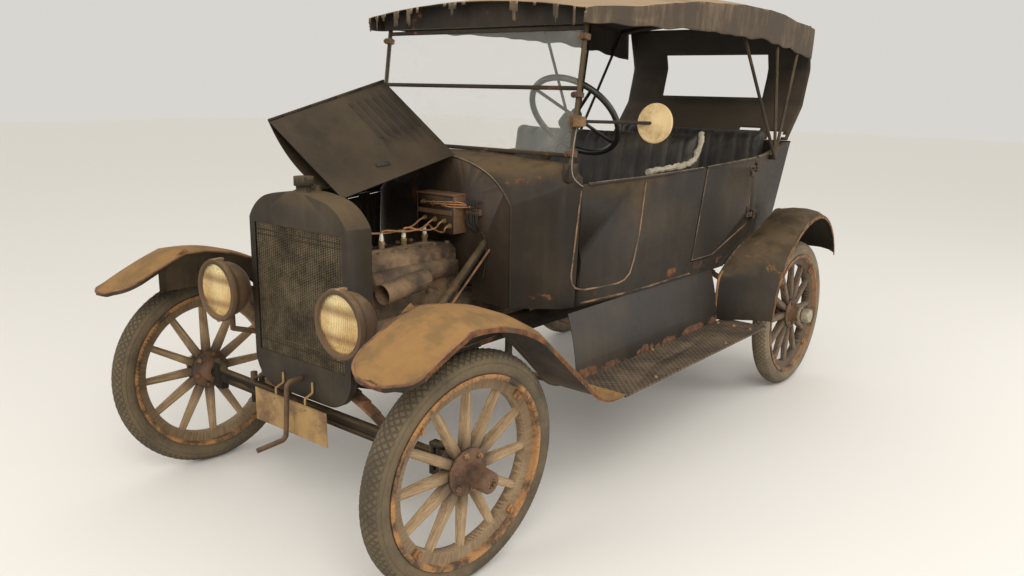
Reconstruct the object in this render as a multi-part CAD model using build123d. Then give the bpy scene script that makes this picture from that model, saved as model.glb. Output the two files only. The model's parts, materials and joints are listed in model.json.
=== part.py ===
from build123d import *
import math
import os

# An open four-seat touring car of the 1920s, with wooden wheels and a fabric top.
# Millimetres. +X is the car's left, -Y is forward, +Z is up.
# The origin is on the ground, on the centreline, midway between the axles.

# Chassis
wheelbase = 2540.0
track = 1422.0
front_axle_y = -wheelbase / 2
rear_axle_y = wheelbase / 2
frame_half_width = 292.0
rail_height = 76.0
rail_flange = 44.0
rail_wall = 6.0
frame_top_z = 636.0
frame_front_y = front_axle_y - 30.0
frame_rear_y = rear_axle_y + 75.0
frame_bottom_z = frame_top_z - rail_height
cross_thickness = 14.0
front_cross_z = frame_bottom_z - 8.0
rear_cross_z = frame_top_z - rail_wall - cross_thickness

# Wheels
tyre_radius = 381.0
tyre_section = 44.5
rim_outer_radius = 312.0
rim_inner_radius = 296.0
rim_half_width = 40.0
felloe_inner_radius = 262.0
felloe_half_width = 20.0
spoke_count = 12
spoke_root_width = 38.0
spoke_tip_width = 26.0
hub_flange_radius = 76.0
hub_flange_gap = 50.0
hub_flange_wall = 8.0
hub_barrel_radius = 34.0
hub_length_out = 125.0
hub_length_in = 62.0
hub_bore_radius = 16.0
running_gap = 0.05
front_camber = 2.9
steer_at_rest = 4.0
kingpin_x = 616.0
kingpin_radius = 9.0

# Axles and springs
axle_beam_height = 44.0
axle_beam_width = 32.0
perch_x = 375.0
spring_width = 44.0
leaf_thickness = 6.5
front_leaves = 6
rear_leaves = 7
rear_tube_radius = 33.0
differential_radius = 130.0

# Engine
engine_right_x = -95.0

# Body shell
sheet = 3.0
wall = 22.0
door_gap = 5.5
sill_z = 700.0
firewall_y = -630.0
cowl_rear_y = -450.0
cowl_half_width_front = 352.0
cowl_half_width_rear = 548.0
cowl_flare_y = -508.0
cowl_half_width_flare = 512.0
cowl_top_front_z = 1255.0
cowl_top_rear_z = 1266.0
body_rear_y = 1500.0
sill_half_width = 582.0
floor_z = 715.0
floor_thickness = 20.0

# Doors: front and rear edges at the belt and at the sill
front_door_top = (-447.0, -78.0)
front_door_bottom = (-500.0, -172.0)
rear_door_top = (430.0, 950.0)
rear_door_bottom = (378.0, 575.0)
door_bottom_z = 768.0
belt_z = 1170.0
door_above_z = 1500.0
rear_door_corner_z = 878.0

# Radiator and bonnet
radiator_front_y = front_axle_y - 60.0
radiator_rear_y = front_axle_y + 42.0
radiator_half_width = 262.0
radiator_shoulder_z = 1060.0
radiator_top_z = 1166.0
radiator_bottom_z = 452.0
apron_top_z = 560.0
apron_half_width = 140.0
core_half_width = 232.0
core_top_z = 1045.0
core_bottom_z = 582.0
fin_pitch = 9.5
fin_gap = 5.0
fin_depth = 6.0
crank_radius = 9.0
bonnet_front_y = radiator_rear_y + 4.0
bonnet_rear_y = firewall_y - 6.0
bonnet_seam_front = (282.0, 1052.0)
bonnet_seam_rear = (348.0, 1088.0)
bonnet_crown_front_z = 1172.0
bonnet_crown_rear_z = 1250.0
bonnet_ledge_z = 650.0
bonnet_open_angle = 156.0
bonnet_side_fold = 106.0
side_rear_slant = 14.0
flute_count = 6
flute_shares = (0.60, 0.94)
flute_z = (830.0, 1022.0)
flute_radius = 7.0

# Fenders and running boards
fender_outer_x = 838.0
fender_inner_x = 600.0
board_top_z = 448.0
board_thickness = 8.0
board_front_y = -548.0
board_rear_y = 690.0
board_inner_x = 618.0
board_hole_spacing = 320.0
board_hole_radius = 4.0
apron_rear_y = 617.0

# Windscreen, steering and seats
screen_half_width = 512.0
screen_base_y = -478.0
screen_base_z = 1262.0
screen_top_y = -410.0
screen_top_z = 1745.0
screen_post_radius = 9.0
screen_bar_radius = 8.0
mirror_centre = (765.0, -325.0, 1401.0)
mirror_radius = 66.0
column_top = (225.0, -58.0, 1403.0)
column_bottom = (225.0, -1069.0, 560.0)
column_radius = 17.0
steering_wheel_radius = 203.0
seat_half_width = 548.0
front_seat_y = (-60.0, 420.0)
rear_seat_y = (880.0, 1330.0)
cushion_z = (905.0, 1020.0)
front_back_top = (520.0, 1345.0)
rear_back_top = (1415.0, 1335.0)
rear_seat_half_width = 462.0
soft_gap = 0.3
seat_gap = 0.3

# Folding top
roof_front_y = -500.0
roof_rear_y = 1640.0
roof_sheet = 6.0

parts = {}


def box(x0, x1, y0, y1, z0, z1):
    """A block between two corners."""
    middle = ((x0 + x1) / 2, (y0 + y1) / 2, (z0 + z1) / 2)
    return Pos(*middle) * Box(abs(x1 - x0), abs(y1 - y0), abs(z1 - z0))


def rod(start, end, radius):
    """A round bar from one point to another."""
    a, b = Vector(*start), Vector(*end)
    return Solid.make_cylinder(radius, (b - a).length, Plane(origin=a, z_dir=b - a))


def bent_rod(points, radius, bend):
    """A round bar along straight runs joined by tangent arcs."""
    path = FilletPolyline(*points, radius=bend)
    start = Plane(origin=path @ 0, z_dir=path % 0)
    return sweep(start * Circle(radius), path)


def side_prism(points, x0, x1):
    """A side-view outline of (y, z) points, drawn out from x0 to x1."""
    face = make_face(Polyline(*[(x0, y, z) for y, z in points], close=True))
    return extrude(face, amount=x1 - x0, dir=(1, 0, 0))


def front_prism(points, y0, y1):
    """A front-view outline of (x, z) points, drawn out from y0 to y1."""
    face = make_face(Polyline(*[(x, y0, z) for x, z in points], close=True))
    return extrude(face, amount=y1 - y0, dir=(0, 1, 0))


def mirrored(shape):
    """The same shape on the car's other side."""
    return mirror(shape, about=Plane.YZ)


def both_sides(shape):
    """A shape and its mirror image as one node of separate solids."""
    return Compound([*shape.solids(), *mirrored(shape).solids()])


def joined(*shapes):
    """Shapes fused into one."""
    result = shapes[0]
    for shape in shapes[1:]:
        result = result + shape
    return result


column_axis = (Vector(*column_top) - Vector(*column_bottom)).normalized()


def along_column(distance):
    """A point on the column's axis, measured down from the wheel's hub."""
    p = Vector(*column_top) - column_axis * distance
    return (p.X, p.Y, p.Z)


column_length = (Vector(*column_top) - Vector(*column_bottom)).length


# Fenders: crowned sheets with a rolled lip, lofted through side-view curves of arcs

# Side-view curves: seven points of three arcs, then an arc's middle and end
front_curve = [(-1671.0, 766.0), (-1535.0, 838.0), (-1390.0, 897.0), (-1195.0, 874.0), (-1020.0, 795.0),
               (-880.0, 672.0), (-750.0, 545.0), (-660.0, 468.0), (-546.0, 451.5)]
front_shares = (1.0, 1.0, 1.0, 1.0, 1.0, 0.9, 0.7, 0.3, 0.0)
front_lifts = (-10.0, 0.0, -3.0, -17.0, -38.0)
front_xs = (fender_inner_x, 652.0, 730.0, 800.0, fender_outer_x)
front_centre = (front_axle_y, 330.0)
tip_start_y = -1540.0
tip_y = -1668.0

rear_curve_inner = [(622.0, 451.5), (619.0, 550.0), (630.0, 655.0), (745.0, 732.0), (975.0, 812.0),
                    (1134.0, 872.0), (1263.0, 919.0), (1462.0, 846.0), (1540.0, 694.0)]
rear_centre = (rear_axle_y, tyre_radius)
rear_radius = 541.0
tail_centre = (1254.0, 630.0)
tail_radius = 293.0
rear_lifts = (0.0, 14.0, 16.0, 8.0, -12.0)
rear_xs = (fender_inner_x, 680.0, 750.0, 800.0, fender_outer_x)
rear_blend = (0.0, 0.45, 0.8, 1.0, 1.0)
fender_lip = 15.0
fender_skirt = (-1500.0, -1030.0, 756.0)
plug_floor_z = 300.0
plug_end_reach = 30.0


def on_circle(centre, radius, angle):
    """A point of a circle in side view, its angle in degrees from +Y towards +Z."""
    turn = math.radians(angle)
    return (centre[0] + radius * math.cos(turn), centre[1] + radius * math.sin(turn))


def lifted(curve, centre, lift, shares=None):
    """A curve's points moved outward from a centre by lift."""
    result = []
    for (y, z), share in zip(curve, shares or [1.0] * len(curve)):
        reach = math.hypot(y - centre[0], z - centre[1])
        result.append((y + (y - centre[0]) / reach * lift * share, z + (z - centre[1]) / reach * lift * share))
    return result


def curve_face(x, curve, reach):
    """A curve of four arcs in side view, longer at its ends by reach and closed down to a floor."""
    points = [(x, y, z) for y, z in curve]
    arcs = [ThreePointArc(*points[index:index + 3]) for index in (0, 2, 4, 6)]
    y0, y1 = curve[0][0] - reach, curve[-1][0] + reach
    corners = [(x, y1, curve[-1][1]), (x, y1, plug_floor_z), (x, y0, plug_floor_z), (x, y0, curve[0][1])]
    if not reach:
        corners = corners[1:3]
    return make_face([*arcs, Polyline(points[-1], *corners, points[0])])


def fender_plug(curves, xs, reach):
    """The whole space under a fender's curves, one curve for each x, further out all round by reach."""
    xs = (xs[0] - reach, *xs[1:-1], xs[-1] + reach)
    return loft([curve_face(x, curve, reach * plug_end_reach) for x, curve in zip(xs, curves)], ruled=True)


def front_plug(drop, reach=0.0):
    """The space under the front fender, lower by drop."""
    curves = [lifted(lifted(front_curve, front_centre, lift, front_shares), front_centre, -drop)
              for lift in front_lifts]
    return fender_plug(curves, front_xs, reach)


def rear_curves(drop):
    """The rear fender's side-view curves, from the body's side out to the lip, lower by drop."""
    angles = (171.7, 161.0, 150.0, 134.0, 118.0, 105.0)
    outer = [on_circle(rear_centre, rear_radius, angle) for angle in angles]
    outer += [on_circle(tail_centre, tail_radius, angle) for angle in (90.0, 48.0, 12.0)]
    curves = []
    for blend, lift in zip(rear_blend, rear_lifts):
        mixed = [(a[0] + (b[0] - a[0]) * blend, a[1] + (b[1] - a[1]) * blend)
                 for a, b in zip(rear_curve_inner, outer)]
        curves.append(lifted(mixed, rear_centre, lift - drop))
    return curves


def rear_plug(drop, reach=0.0):
    """The space under the rear fender, lower by drop."""
    return fender_plug(rear_curves(drop), rear_xs, reach)


def tip_outline(inset):
    """The front fender's outline seen from above: its front end round."""
    x0, x1 = fender_inner_x + inset, fender_outer_x - inset
    middle = (x0 + x1) / 2
    nose = ThreePointArc((x0, tip_start_y), (middle, tip_y + inset), (x1, tip_start_y))
    back = -400.0
    face = make_face([nose, Line((x1, tip_start_y), (x1, back)), Line((x1, back), (x0, back)),
                      Line((x0, back), (x0, tip_start_y))])
    return extrude(Pos(0, 0, plug_floor_z + 1) * face, amount=700)


def keep_largest(shape):
    """The largest solid of a shape."""
    return max(shape.solids(), key=lambda s: s.volume)


def make_fenders():
    above_board = box(500, 900, -1900, 1900, board_top_z + seat_gap, 1100)
    under_front, under_rear = front_plug(sheet, 1.0), rear_plug(sheet, 1.0)
    whole = front_plug(0.0)
    outline = tip_outline(0.0)
    rim = outline - tip_outline(sheet)
    lip = rim & (whole - front_plug(fender_lip, 1.0))
    y0, y1, low = fender_skirt
    skirt = whole & box(fender_inner_x, fender_inner_x + sheet, y0, y1, low, 1100)
    front = keep_largest((joined((whole - under_front) & outline, lip, skirt)) & above_board)
    whole = rear_plug(0.0)
    edge = box(fender_outer_x - sheet, fender_outer_x + 5, 0, 1900, plug_floor_z + 1, 1100)
    lip = edge & (whole - rear_plug(fender_lip, 1.0))
    rear = keep_largest(joined(whole - under_rear, lip) & above_board)
    return [both_sides(front), both_sides(rear)], under_front, under_rear


fender_sheets, front_fender_plug, rear_fender_plug = make_fenders()
parts["fenders_front"], parts["fenders_rear"] = fender_sheets


# Frame: two channel rails, three cross members and the brackets that they carry

def make_frame():
    rail = box(frame_half_width - rail_flange, frame_half_width, frame_front_y, frame_rear_y,
               frame_bottom_z, frame_top_z)
    hollow = box(frame_half_width - rail_flange - 1, frame_half_width - rail_wall,
                 frame_front_y - 1, frame_rear_y + 1,
                 frame_bottom_z + rail_wall, frame_top_z - rail_wall)
    rail = rail - hollow
    shape = joined(rail, mirrored(rail))
    for y, z in ((front_axle_y, front_cross_z), (0.0, frame_bottom_z + 40), (rear_axle_y, rear_cross_z)):
        shape = shape + box(-frame_half_width + rail_wall, frame_half_width - rail_wall,
                            y - 30, y + 30, z, z + cross_thickness)
    shelf = box(frame_half_width - rail_wall, bonnet_seam_rear[0] - 2, bonnet_front_y, bonnet_rear_y,
                frame_top_z - 1, bonnet_ledge_z - 3)
    shape = joined(shape, shelf, mirrored(shelf))
    front_iron = bent_rod([(frame_half_width - 2, -1000, 610), (470, -1000, 650), (615, -1000, 722),
                           (640, -1000, 900)], 8, 30)
    rear_iron = bent_rod([(frame_half_width - 2, 1300, 618), (600, 1300, 650), (626, 1300, 980)], 8, 30)
    for iron, plug in ((front_iron, front_fender_plug), (rear_iron, rear_fender_plug)):
        under = iron & (Pos(0, 0, -seat_gap) * plug)
        below = iron & box(0, fender_inner_x + 0.5, -1900, 1900, 500, 840)
        shape = joined(shape, under, below, mirrored(under), mirrored(below))
    for y in (-560.0, 560.0):
        arm = box(frame_half_width, board_inner_x + 180, y - 14, y + 14,
                  board_top_z - board_thickness - 14, board_top_z - board_thickness)
        drop = box(frame_half_width - 0.5, frame_half_width + 14, y - 14, y + 14,
                   board_top_z - board_thickness - 14, frame_top_z)
        bracket = joined(arm, drop)
        shape = joined(shape, bracket, mirrored(bracket))
    return shape


parts["frame"] = make_frame()

# Front axle: a forged beam with a fork and kingpin at each end

spindle_z = (tyre_radius - tyre_section) * math.cos(math.radians(front_camber)) + tyre_section
fork_half = 40.0


def make_front_axle():
    z = spindle_z
    beam = box(-kingpin_x + 30, kingpin_x - 30, front_axle_y - axle_beam_width / 2,
               front_axle_y + axle_beam_width / 2,
               z - axle_beam_height / 2, z + axle_beam_height / 2)
    groove_depth = 10.0
    for side in (-1, 1):
        y0 = front_axle_y + side * (axle_beam_width / 2 - groove_depth)
        y1 = front_axle_y + side * (axle_beam_width / 2 + 1)
        beam = beam - box(-kingpin_x + 70, kingpin_x - 70, y0, y1, z - 13, z + 13)
    for side in (-1, 1):
        x = side * kingpin_x
        fork = box(x - side * 42, x - side * 24, front_axle_y - 14, front_axle_y + 14,
                   z - fork_half - 14, z + fork_half + 14)
        for level in (-1, 1):
            z0 = z + level * fork_half
            ear = Pos(x, front_axle_y, z0 + level * 7) * Cylinder(17, 14)
            link = box(x - side * 42, x, front_axle_y - 14, front_axle_y + 14, z0, z0 + level * 14)
            fork = joined(fork, ear, link)
        pin = Pos(x, front_axle_y, z) * Cylinder(kingpin_radius, 2 * fork_half + 42)
        beam = joined(beam, fork, pin)
        perch = rod((side * perch_x, front_axle_y, z - 56), (side * perch_x, front_axle_y, z + 62), 13)
        beam = beam + perch
    return beam


parts["front_axle"] = make_front_axle()


# Transverse leaf springs

def leaf_stack(leaves, half_span, top_z, camber, axle_y):
    """An arched stack of leaves, each shorter than the one below it."""
    stack = None
    for index in range(leaves):
        reach = half_span * (1 - 0.78 * index / leaves)
        arch = camber * (reach / half_span) ** 2
        z = top_z - (leaves - index - 1) * leaf_thickness
        ends = ((-reach, axle_y, z - arch), (reach, axle_y, z - arch))
        upper = ThreePointArc(ends[0], (0, axle_y, z), ends[1])
        lower = ThreePointArc((-reach, axle_y, z - arch - leaf_thickness), (0, axle_y, z - leaf_thickness),
                              (reach, axle_y, z - arch - leaf_thickness))
        face = make_face([upper, Line(ends[1], lower @ 1), lower, Line(lower @ 0, ends[0])])
        leaf = extrude(face, amount=spring_width / 2, dir=(0, 1, 0), both=True)
        stack = leaf if stack is None else stack + leaf
    return stack


def make_springs():
    front = leaf_stack(front_leaves, perch_x - 13 - seat_gap, front_cross_z, 96.0, front_axle_y)
    rear = leaf_stack(rear_leaves, perch_x + 35, rear_cross_z, 132.0, rear_axle_y)
    return front, rear


front_spring, rear_spring = make_springs()
parts["front_spring"] = front_spring
parts["rear_spring"] = rear_spring


# Rear axle: tapered tubes, a round differential housing and the drive tube

def make_rear_axle():
    y, z = rear_axle_y, tyre_radius
    bowl = ThreePointArc((0, differential_radius), (78, 96), (112, rear_tube_radius))
    edges = [Line((0, 0), (0, differential_radius)), bowl,
             Polyline((112, rear_tube_radius), (560, rear_tube_radius + 6), (560, 105), (600, 105), (600, 0)),
             Line((600, 0), (0, 0))]
    half = revolve(Plane(origin=(0, y, z), x_dir=(1, 0, 0), z_dir=(0, -1, 0)) * make_face(edges),
                   Axis((0, y, z), (1, 0, 0)))
    shaft = rod((590, y, z), (track / 2 + hub_length_out - 10, y, z), hub_bore_radius - running_gap)
    shape = joined(half, mirrored(half), shaft, mirrored(shaft))
    for side in (-1, 1):
        perch = box(side * (perch_x + 35 + seat_gap), side * (perch_x + 70), y - 16, y + 16, z + 20, z + 100)
        shape = shape + perch
    return shape


parts["rear_axle"] = make_rear_axle()


def make_drive_tube():
    ball_y, ball_z = -130.0, 530.0
    tube = rod((0, ball_y, ball_z), (0, rear_axle_y - differential_radius, tyre_radius + 10), 30)
    lugs = box(-58, 58, 34, 58, 498, 522)
    return joined(tube, Pos(0, ball_y, ball_z) * Sphere(48), lugs)


parts["drive_tube"] = make_drive_tube()


wishbone_ball = (0.0, -420.0, 405.0)


def make_radius_rods():
    """The front wishbone and the two rear rods."""
    shape = None
    for side in (-1, 1):
        front = rod((side * (perch_x - 5.6), front_axle_y + 13.4, spindle_z - 43),
                    (side * 8, wishbone_ball[1] + 4, wishbone_ball[2]), 11)
        front = front + Pos(*wishbone_ball) * Sphere(22)
        rear = rod((side * 548, rear_axle_y - 55, tyre_radius), (side * 44, 62.6, 509), 10)
        shape = front + rear if shape is None else shape + front + rear
    return shape


parts["radius_rods"] = make_radius_rods()


# Engine: block, head, sump and gearbox case, with the fittings that the open bonnet shows

block_left_x = 120.0
block_front_y = -1130.0
block_rear_y = -660.0
block_z = (700.0, 860.0)
head_top_z = 925.0
plug_first_y = -1062.0
plug_pitch = 113.0
plug_boss_radius = 11.0
jacket_radius = 36.0
open_pipe_start = (182.0, -1115.0, 809.0)
open_pipe_end = (178.0, -905.0, 832.0)
open_pipe_radius = 37.0
fan_centre = (0.0, -1184.0, 850.0)
fan_reach = 128.0
outlet_radius = 22.0
hose_radius = 26.0


def make_fan():
    """The fan's hub and four slanted blades, its shaft carried by the block's front."""
    x, y, z = fan_centre
    fan = rod((x, y - 10, z), (x, block_front_y + 2, z), 14)
    for index in range(4):
        blade = Pos(0, 0, fan_reach / 2 + 5) * Rot(0, 0, 28) * Box(44, sheet, fan_reach - 10)
        fan = fan + Pos(x, y, z) * Rot(0, 45 + 90 * index, 0) * blade
    return fan


def make_engine():
    block = box(engine_right_x, block_left_x, block_front_y, block_rear_y, *block_z)
    head = front_prism([(-80, block_z[1]), (110, block_z[1]), (110, 902), (84, head_top_z), (-56, head_top_z),
                        (-80, 902)], block_front_y + 5, block_rear_y - 5)
    sump = box(-118, 140, -1150, -560, 500, 700)
    arms = box(-frame_half_width + rail_wall + seat_gap, frame_half_width - rail_wall - seat_gap,
               -640, -604, 600, 622)
    gearbox = rod((0, -561, 590), (0, -185, 550), 118)
    jacket = rod((block_left_x, block_front_y + 12, 842), (block_left_x, block_rear_y - 36, 842), jacket_radius)
    pipe = rod(open_pipe_start, open_pipe_end, open_pipe_radius)
    elbow = rod(open_pipe_end, (block_left_x - 6, -868, 834), open_pipe_radius - 6)
    shape = joined(block, head, sump, gearbox, arms, jacket, pipe, elbow, make_fan())
    for index in range(4):
        y = plug_first_y + plug_pitch * index
        shape = shape + rod((0, y, head_top_z - 2), (0, y, head_top_z + 18), plug_boss_radius)
    outlet = rod((0, -1086, head_top_z - 4), (0, -1100, 988), outlet_radius)
    tank_y = radiator_rear_y - 6 + seat_gap
    hose = rod((0, -1080, 978), (0, tank_y - 10, 1012), hose_radius)
    hose = hose - box(-60, 60, tank_y - 60, tank_y, 900, 1100)
    toward = (Vector(*open_pipe_end) - Vector(*open_pipe_start)).normalized()
    hollow = rod(tuple(Vector(*open_pipe_start) - toward), tuple(Vector(*open_pipe_end) - toward * 20),
                 open_pipe_radius - sheet)
    rest = box(-18, 18, -438, -402, wishbone_ball[2] + 22 + seat_gap, 480)
    return joined(shape, outlet, hose, rest) - hollow


parts["engine"] = make_engine()


def make_exhaust():
    pipe = bent_rod([(-150, -1050, 780), (-150, -790, 780), (-165, -690, 525), (-165, 620, 525)], 22, 60)
    muffler = rod((-165, 600, 525), (-165, 980, 525), 62)
    log = rod((-150, -1115, 780), (-150, -675, 780), 27)
    shape = joined(pipe, muffler, log)
    for y in (-1070, -960, -830, -720):
        shape = shape + rod((-150, y, 780), (engine_right_x - seat_gap, y, 780), 20)
    return shape


parts["exhaust"] = make_exhaust()


# Radiator: a pressed shell with an arched top, the finned core and its filler cap

def shell_outline(inset, y):
    """The radiator's front outline: straight sides, round shoulders, flat arched top."""
    w = radiator_half_width - inset
    bottom = radiator_bottom_z + inset
    top = radiator_top_z - inset
    shoulder = radiator_shoulder_z
    apron_w = apron_half_width - inset
    arch = ThreePointArc((-w * 0.62, y, top - 22), (0, y, top), (w * 0.62, y, top - 22))
    knee = ((w + apron_w) / 2 + 0.2 * (w - apron_w), (bottom + apron_top_z) / 2 - 0.2 * (apron_top_z - bottom))
    right = [TangentArc(arch @ 1, (w, y, shoulder), tangent=(1, 0, -0.35)),
             Line((w, y, shoulder), (w, y, apron_top_z)),
             ThreePointArc((w, y, apron_top_z), (knee[0], y, knee[1]), (apron_w, y, bottom)),
             Line((apron_w, y, bottom), (-apron_w, y, bottom)),
             ThreePointArc((-apron_w, y, bottom), (-knee[0], y, knee[1]), (-w, y, apron_top_z)),
             Line((-w, y, apron_top_z), (-w, y, shoulder)),
             TangentArc(arch @ 0, (-w, y, shoulder), tangent=(-1, 0, -0.35))]
    return make_face([arch, *right])


def make_radiator_shell():
    depth = radiator_rear_y - radiator_front_y
    shape = extrude(shell_outline(0.0, radiator_front_y), amount=depth, dir=(0, 1, 0))
    inner = extrude(shell_outline(sheet, radiator_front_y + sheet), amount=depth, dir=(0, 1, 0))
    shape = shape - inner
    window = box(-core_half_width, core_half_width, radiator_front_y - 5, radiator_front_y + sheet + 5,
                 core_bottom_z, core_top_z)
    shape = shape - window
    shape = shape - box(-400, 400, frame_front_y - 2, 0, 0, frame_top_z + 0.3)
    neck = Pos(0, radiator_front_y + 40, radiator_top_z + 6) * Cylinder(26, 30)
    cap = Pos(0, radiator_front_y + 40, radiator_top_z + 36) * Cylinder(33, 30)
    bush = Pos(0, radiator_front_y + 12, 520) * Rot(90, 0, 0) * Cylinder(16, 24)
    bracket = box(-10, 10, radiator_rear_y - 18, bonnet_front_y - 2 - seat_gap, radiator_top_z - 6, 1184)
    crank_hole = Pos(0, radiator_front_y, 520) * Rot(90, 0, 0) * Cylinder(crank_radius + seat_gap, 80)
    return joined(shape, neck, cap, bush, bracket) - crank_hole


parts["radiator_shell"] = make_radiator_shell()


def make_radiator_core():
    """The core's block with its front cut into fins, and the lower tank under it."""
    y0, y1 = radiator_front_y + sheet + seat_gap, radiator_rear_y - 6
    low, high = core_bottom_z + 2, core_top_z - 2
    half = core_half_width - 2
    points = [(y1, low), (y1, high), (y0, high)]
    for index in range(int((high - low) / fin_pitch)):
        z = high - fin_pitch * index - (fin_pitch - fin_gap)
        points += [(y0, z), (y0 + fin_depth, z), (y0 + fin_depth, z - fin_gap), (y0, z - fin_gap)]
    points.append((y0, low))
    tank = box(-half, half, y0, y1, front_cross_z + cross_thickness + seat_gap, low)
    return side_prism(points, -half, half) + tank


parts["radiator_core"] = make_radiator_core()


# Headlamps: drum bodies with a rim, each on a forked post

lamp_centre = (333.0, front_axle_y - 150.0, 797.0)
lamp_radius = 108.0
lamp_depth = 104.0


def make_headlamps():
    x, y, z = lamp_centre
    bowl = ThreePointArc((0, lamp_depth), (lamp_radius * 0.62, lamp_depth * 0.82), (lamp_radius - 8, 22))
    rim = Polyline((lamp_radius - 8, 22), (lamp_radius - 8, 8), (lamp_radius + 4, 4), (lamp_radius + 6, -8),
                   (lamp_radius + 2, -18), (lamp_radius - 12, -18), (lamp_radius - 12, 0), (0, 0), (0, lamp_depth))
    plane = Plane(origin=(x, y, z), x_dir=(1, 0, 0), z_dir=(0, 0, 1))
    drum = revolve(plane * make_face([bowl, rim]), Axis((x, y, z), (0, 1, 0)))
    post = rod((x, y + 45, z - 80), (x, y + 45, 640), 10)
    foot = rod((x, y + 45, 645), (frame_half_width + 16, y + 155, 612), 10)
    foot = foot + box(frame_half_width + seat_gap, frame_half_width + 9, y + 130, y + 180, 585, 630)
    return both_sides(joined(drum, post, foot))


parts["headlamps"] = make_headlamps()


def make_headlamp_lenses():
    x, y, z = lamp_centre
    disc = Pos(x, y - 8, z) * Rot(90, 0, 0) * Cylinder(lamp_radius - 12.5, 6)
    return both_sides(disc)


parts["headlamp_lenses"] = make_headlamp_lenses()


# Firewall and cowl

def arch_face(y, half_width, bottom, shoulder, top, flat, foot=0.0):
    """A doorway-shaped section: sides drawn in by foot at the bottom, round shoulders, an arched top."""
    crown = ThreePointArc((-half_width * flat, y, top - (top - shoulder) * 0.28), (0, y, top),
                          (half_width * flat, y, top - (top - shoulder) * 0.28))
    edges = [crown,
             TangentArc(crown @ 1, (half_width, y, shoulder), tangent=crown % 1),
             Line((half_width, y, shoulder), (half_width - foot, y, bottom)),
             Line((half_width - foot, y, bottom), (-half_width + foot, y, bottom)),
             Line((-half_width + foot, y, bottom), (-half_width, y, shoulder)),
             TangentArc(crown @ 0, (-half_width, y, shoulder), tangent=(crown % 0) * -1)]
    return make_face(edges)


def make_firewall():
    face = arch_face(firewall_y, cowl_half_width_front - sheet - seat_gap, sill_z, 1085 - sheet,
                     cowl_top_front_z - sheet - seat_gap, 0.62)
    plate = extrude(face, amount=8, dir=(0, 1, 0))
    coil_box = box(-60, 130, firewall_y - 70, firewall_y + 0.5, 965, 1108)
    notch = box(-150, 165, firewall_y - 5, firewall_y + 20, sill_z - 10, 765)
    hole = rod(along_column(-100), along_column(column_length), column_radius + seat_gap)
    return plate + coil_box - notch - hole


parts["firewall"] = make_firewall()


def cowl_plug(inset, reach):
    """The cowl's whole form, smaller all round by inset and longer by reach at both ends."""
    front = arch_face(firewall_y - reach, cowl_half_width_front - inset, sill_z - 5 * reach, 1085 - inset,
                      cowl_top_front_z - inset, 0.62)
    middle = arch_face(cowl_flare_y, cowl_half_width_flare - inset, sill_z - 5 * reach, 1168 - inset,
                       cowl_top_rear_z - 3 - inset, 0.76, 12.0)
    rear = arch_face(cowl_rear_y + reach, cowl_half_width_rear - inset, sill_z - 5 * reach, 1196 - inset,
                     cowl_top_rear_z - inset, 0.80, 20.0)
    return loft([front, middle, rear], ruled=True)


cowl_form = cowl_plug(-seat_gap, 0.0)
parts["cowl"] = cowl_plug(0.0, 0.0) - cowl_plug(sheet, 1.0)


# Body tub: lofted between a sill outline and a belt outline, then cut into its panels

# Stations of the outline: y, half width at the sill, half width at the belt
body_stations = [
    (cowl_rear_y + 0.4, 530.0, 549.0),
    (-100.0, 572.0, 592.0),
    (450.0, sill_half_width, 605.0),
    (1050.0, 575.0, 598.0),
    (body_rear_y - 30.0, 470.0, 545.0),
    (body_rear_y, 150.0, 180.0),
]


def tub_outline(level, inset):
    """The tub's plan outline at the sill (level 0) or at the belt (level 1)."""
    z = sill_z if level == 0 else 1320.0
    right = []
    for index, (y, sill_w, belt_w) in enumerate(body_stations):
        w = (sill_w if level == 0 else belt_w + (belt_w - sill_w) * 0.4) - inset
        end = len(body_stations) - 1
        right.append((w, y - (inset if index >= end - 1 else 0.0), z))
    left = [(-x, y, zz) for x, y, zz in reversed(right)]
    return make_face(Polyline(*right, *left, close=True))


def make_tub():
    outer = loft([tub_outline(0, 0.0), tub_outline(1, 0.0)], ruled=True)
    inner = loft([tub_outline(0, wall), tub_outline(1, wall)], ruled=True)
    inner = inner - box(-700, 700, -900, 1900, 0, sill_z - 1)
    ring = outer - inner - box(-400, 400, cowl_rear_y - 5, cowl_rear_y + 60, 0, 1400)
    ring = ring - box(-540, 540, cowl_rear_y - 5, cowl_rear_y + 20, 0, 1400)
    top_line = [(-600, 1169), (400, 1185), (950, 1201), (1250, 1230), (1400, 1256), (1700, 1262),
                (1700, 1500), (-600, 1500)]
    return ring - side_prism(top_line, -800, 800)


def door_prism(top, bottom, corner, grow, x0, x1):
    """A door's side outline, larger all round by grow; corner cuts its lower rear."""
    share = (door_above_z - door_bottom_z) / (belt_z - door_bottom_z)
    above = (bottom[0] + (top[0] - bottom[0]) * share, bottom[1] + (top[1] - bottom[1]) * share)
    if corner:
        points = [(above[0] - grow, door_above_z + grow), (top[1] + grow, door_above_z + grow),
                  (top[1] + grow, rear_door_corner_z - grow)]
    else:
        points = [(above[0] - grow, door_above_z + grow), (above[1] + grow, door_above_z + grow)]
    lower_rear = bottom[1] + (grow * 0.4 if corner else grow)
    points += [(lower_rear, door_bottom_z - grow), (bottom[0] - grow, door_bottom_z - grow)]
    return side_prism(points, x0, x1)


tub = make_tub()
tub_form = loft([tub_outline(0, -seat_gap), tub_outline(1, -seat_gap)], ruled=True)
split_y = body_rear_y - 230.0
left_side = tub & box(0, 800, -700, split_y, 600, 1500)
right_side = tub & box(-800, 0, -700, split_y, 600, 1500)
back_panel = tub & box(-800, 800, split_y, 1800, 600, 1500)


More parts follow.
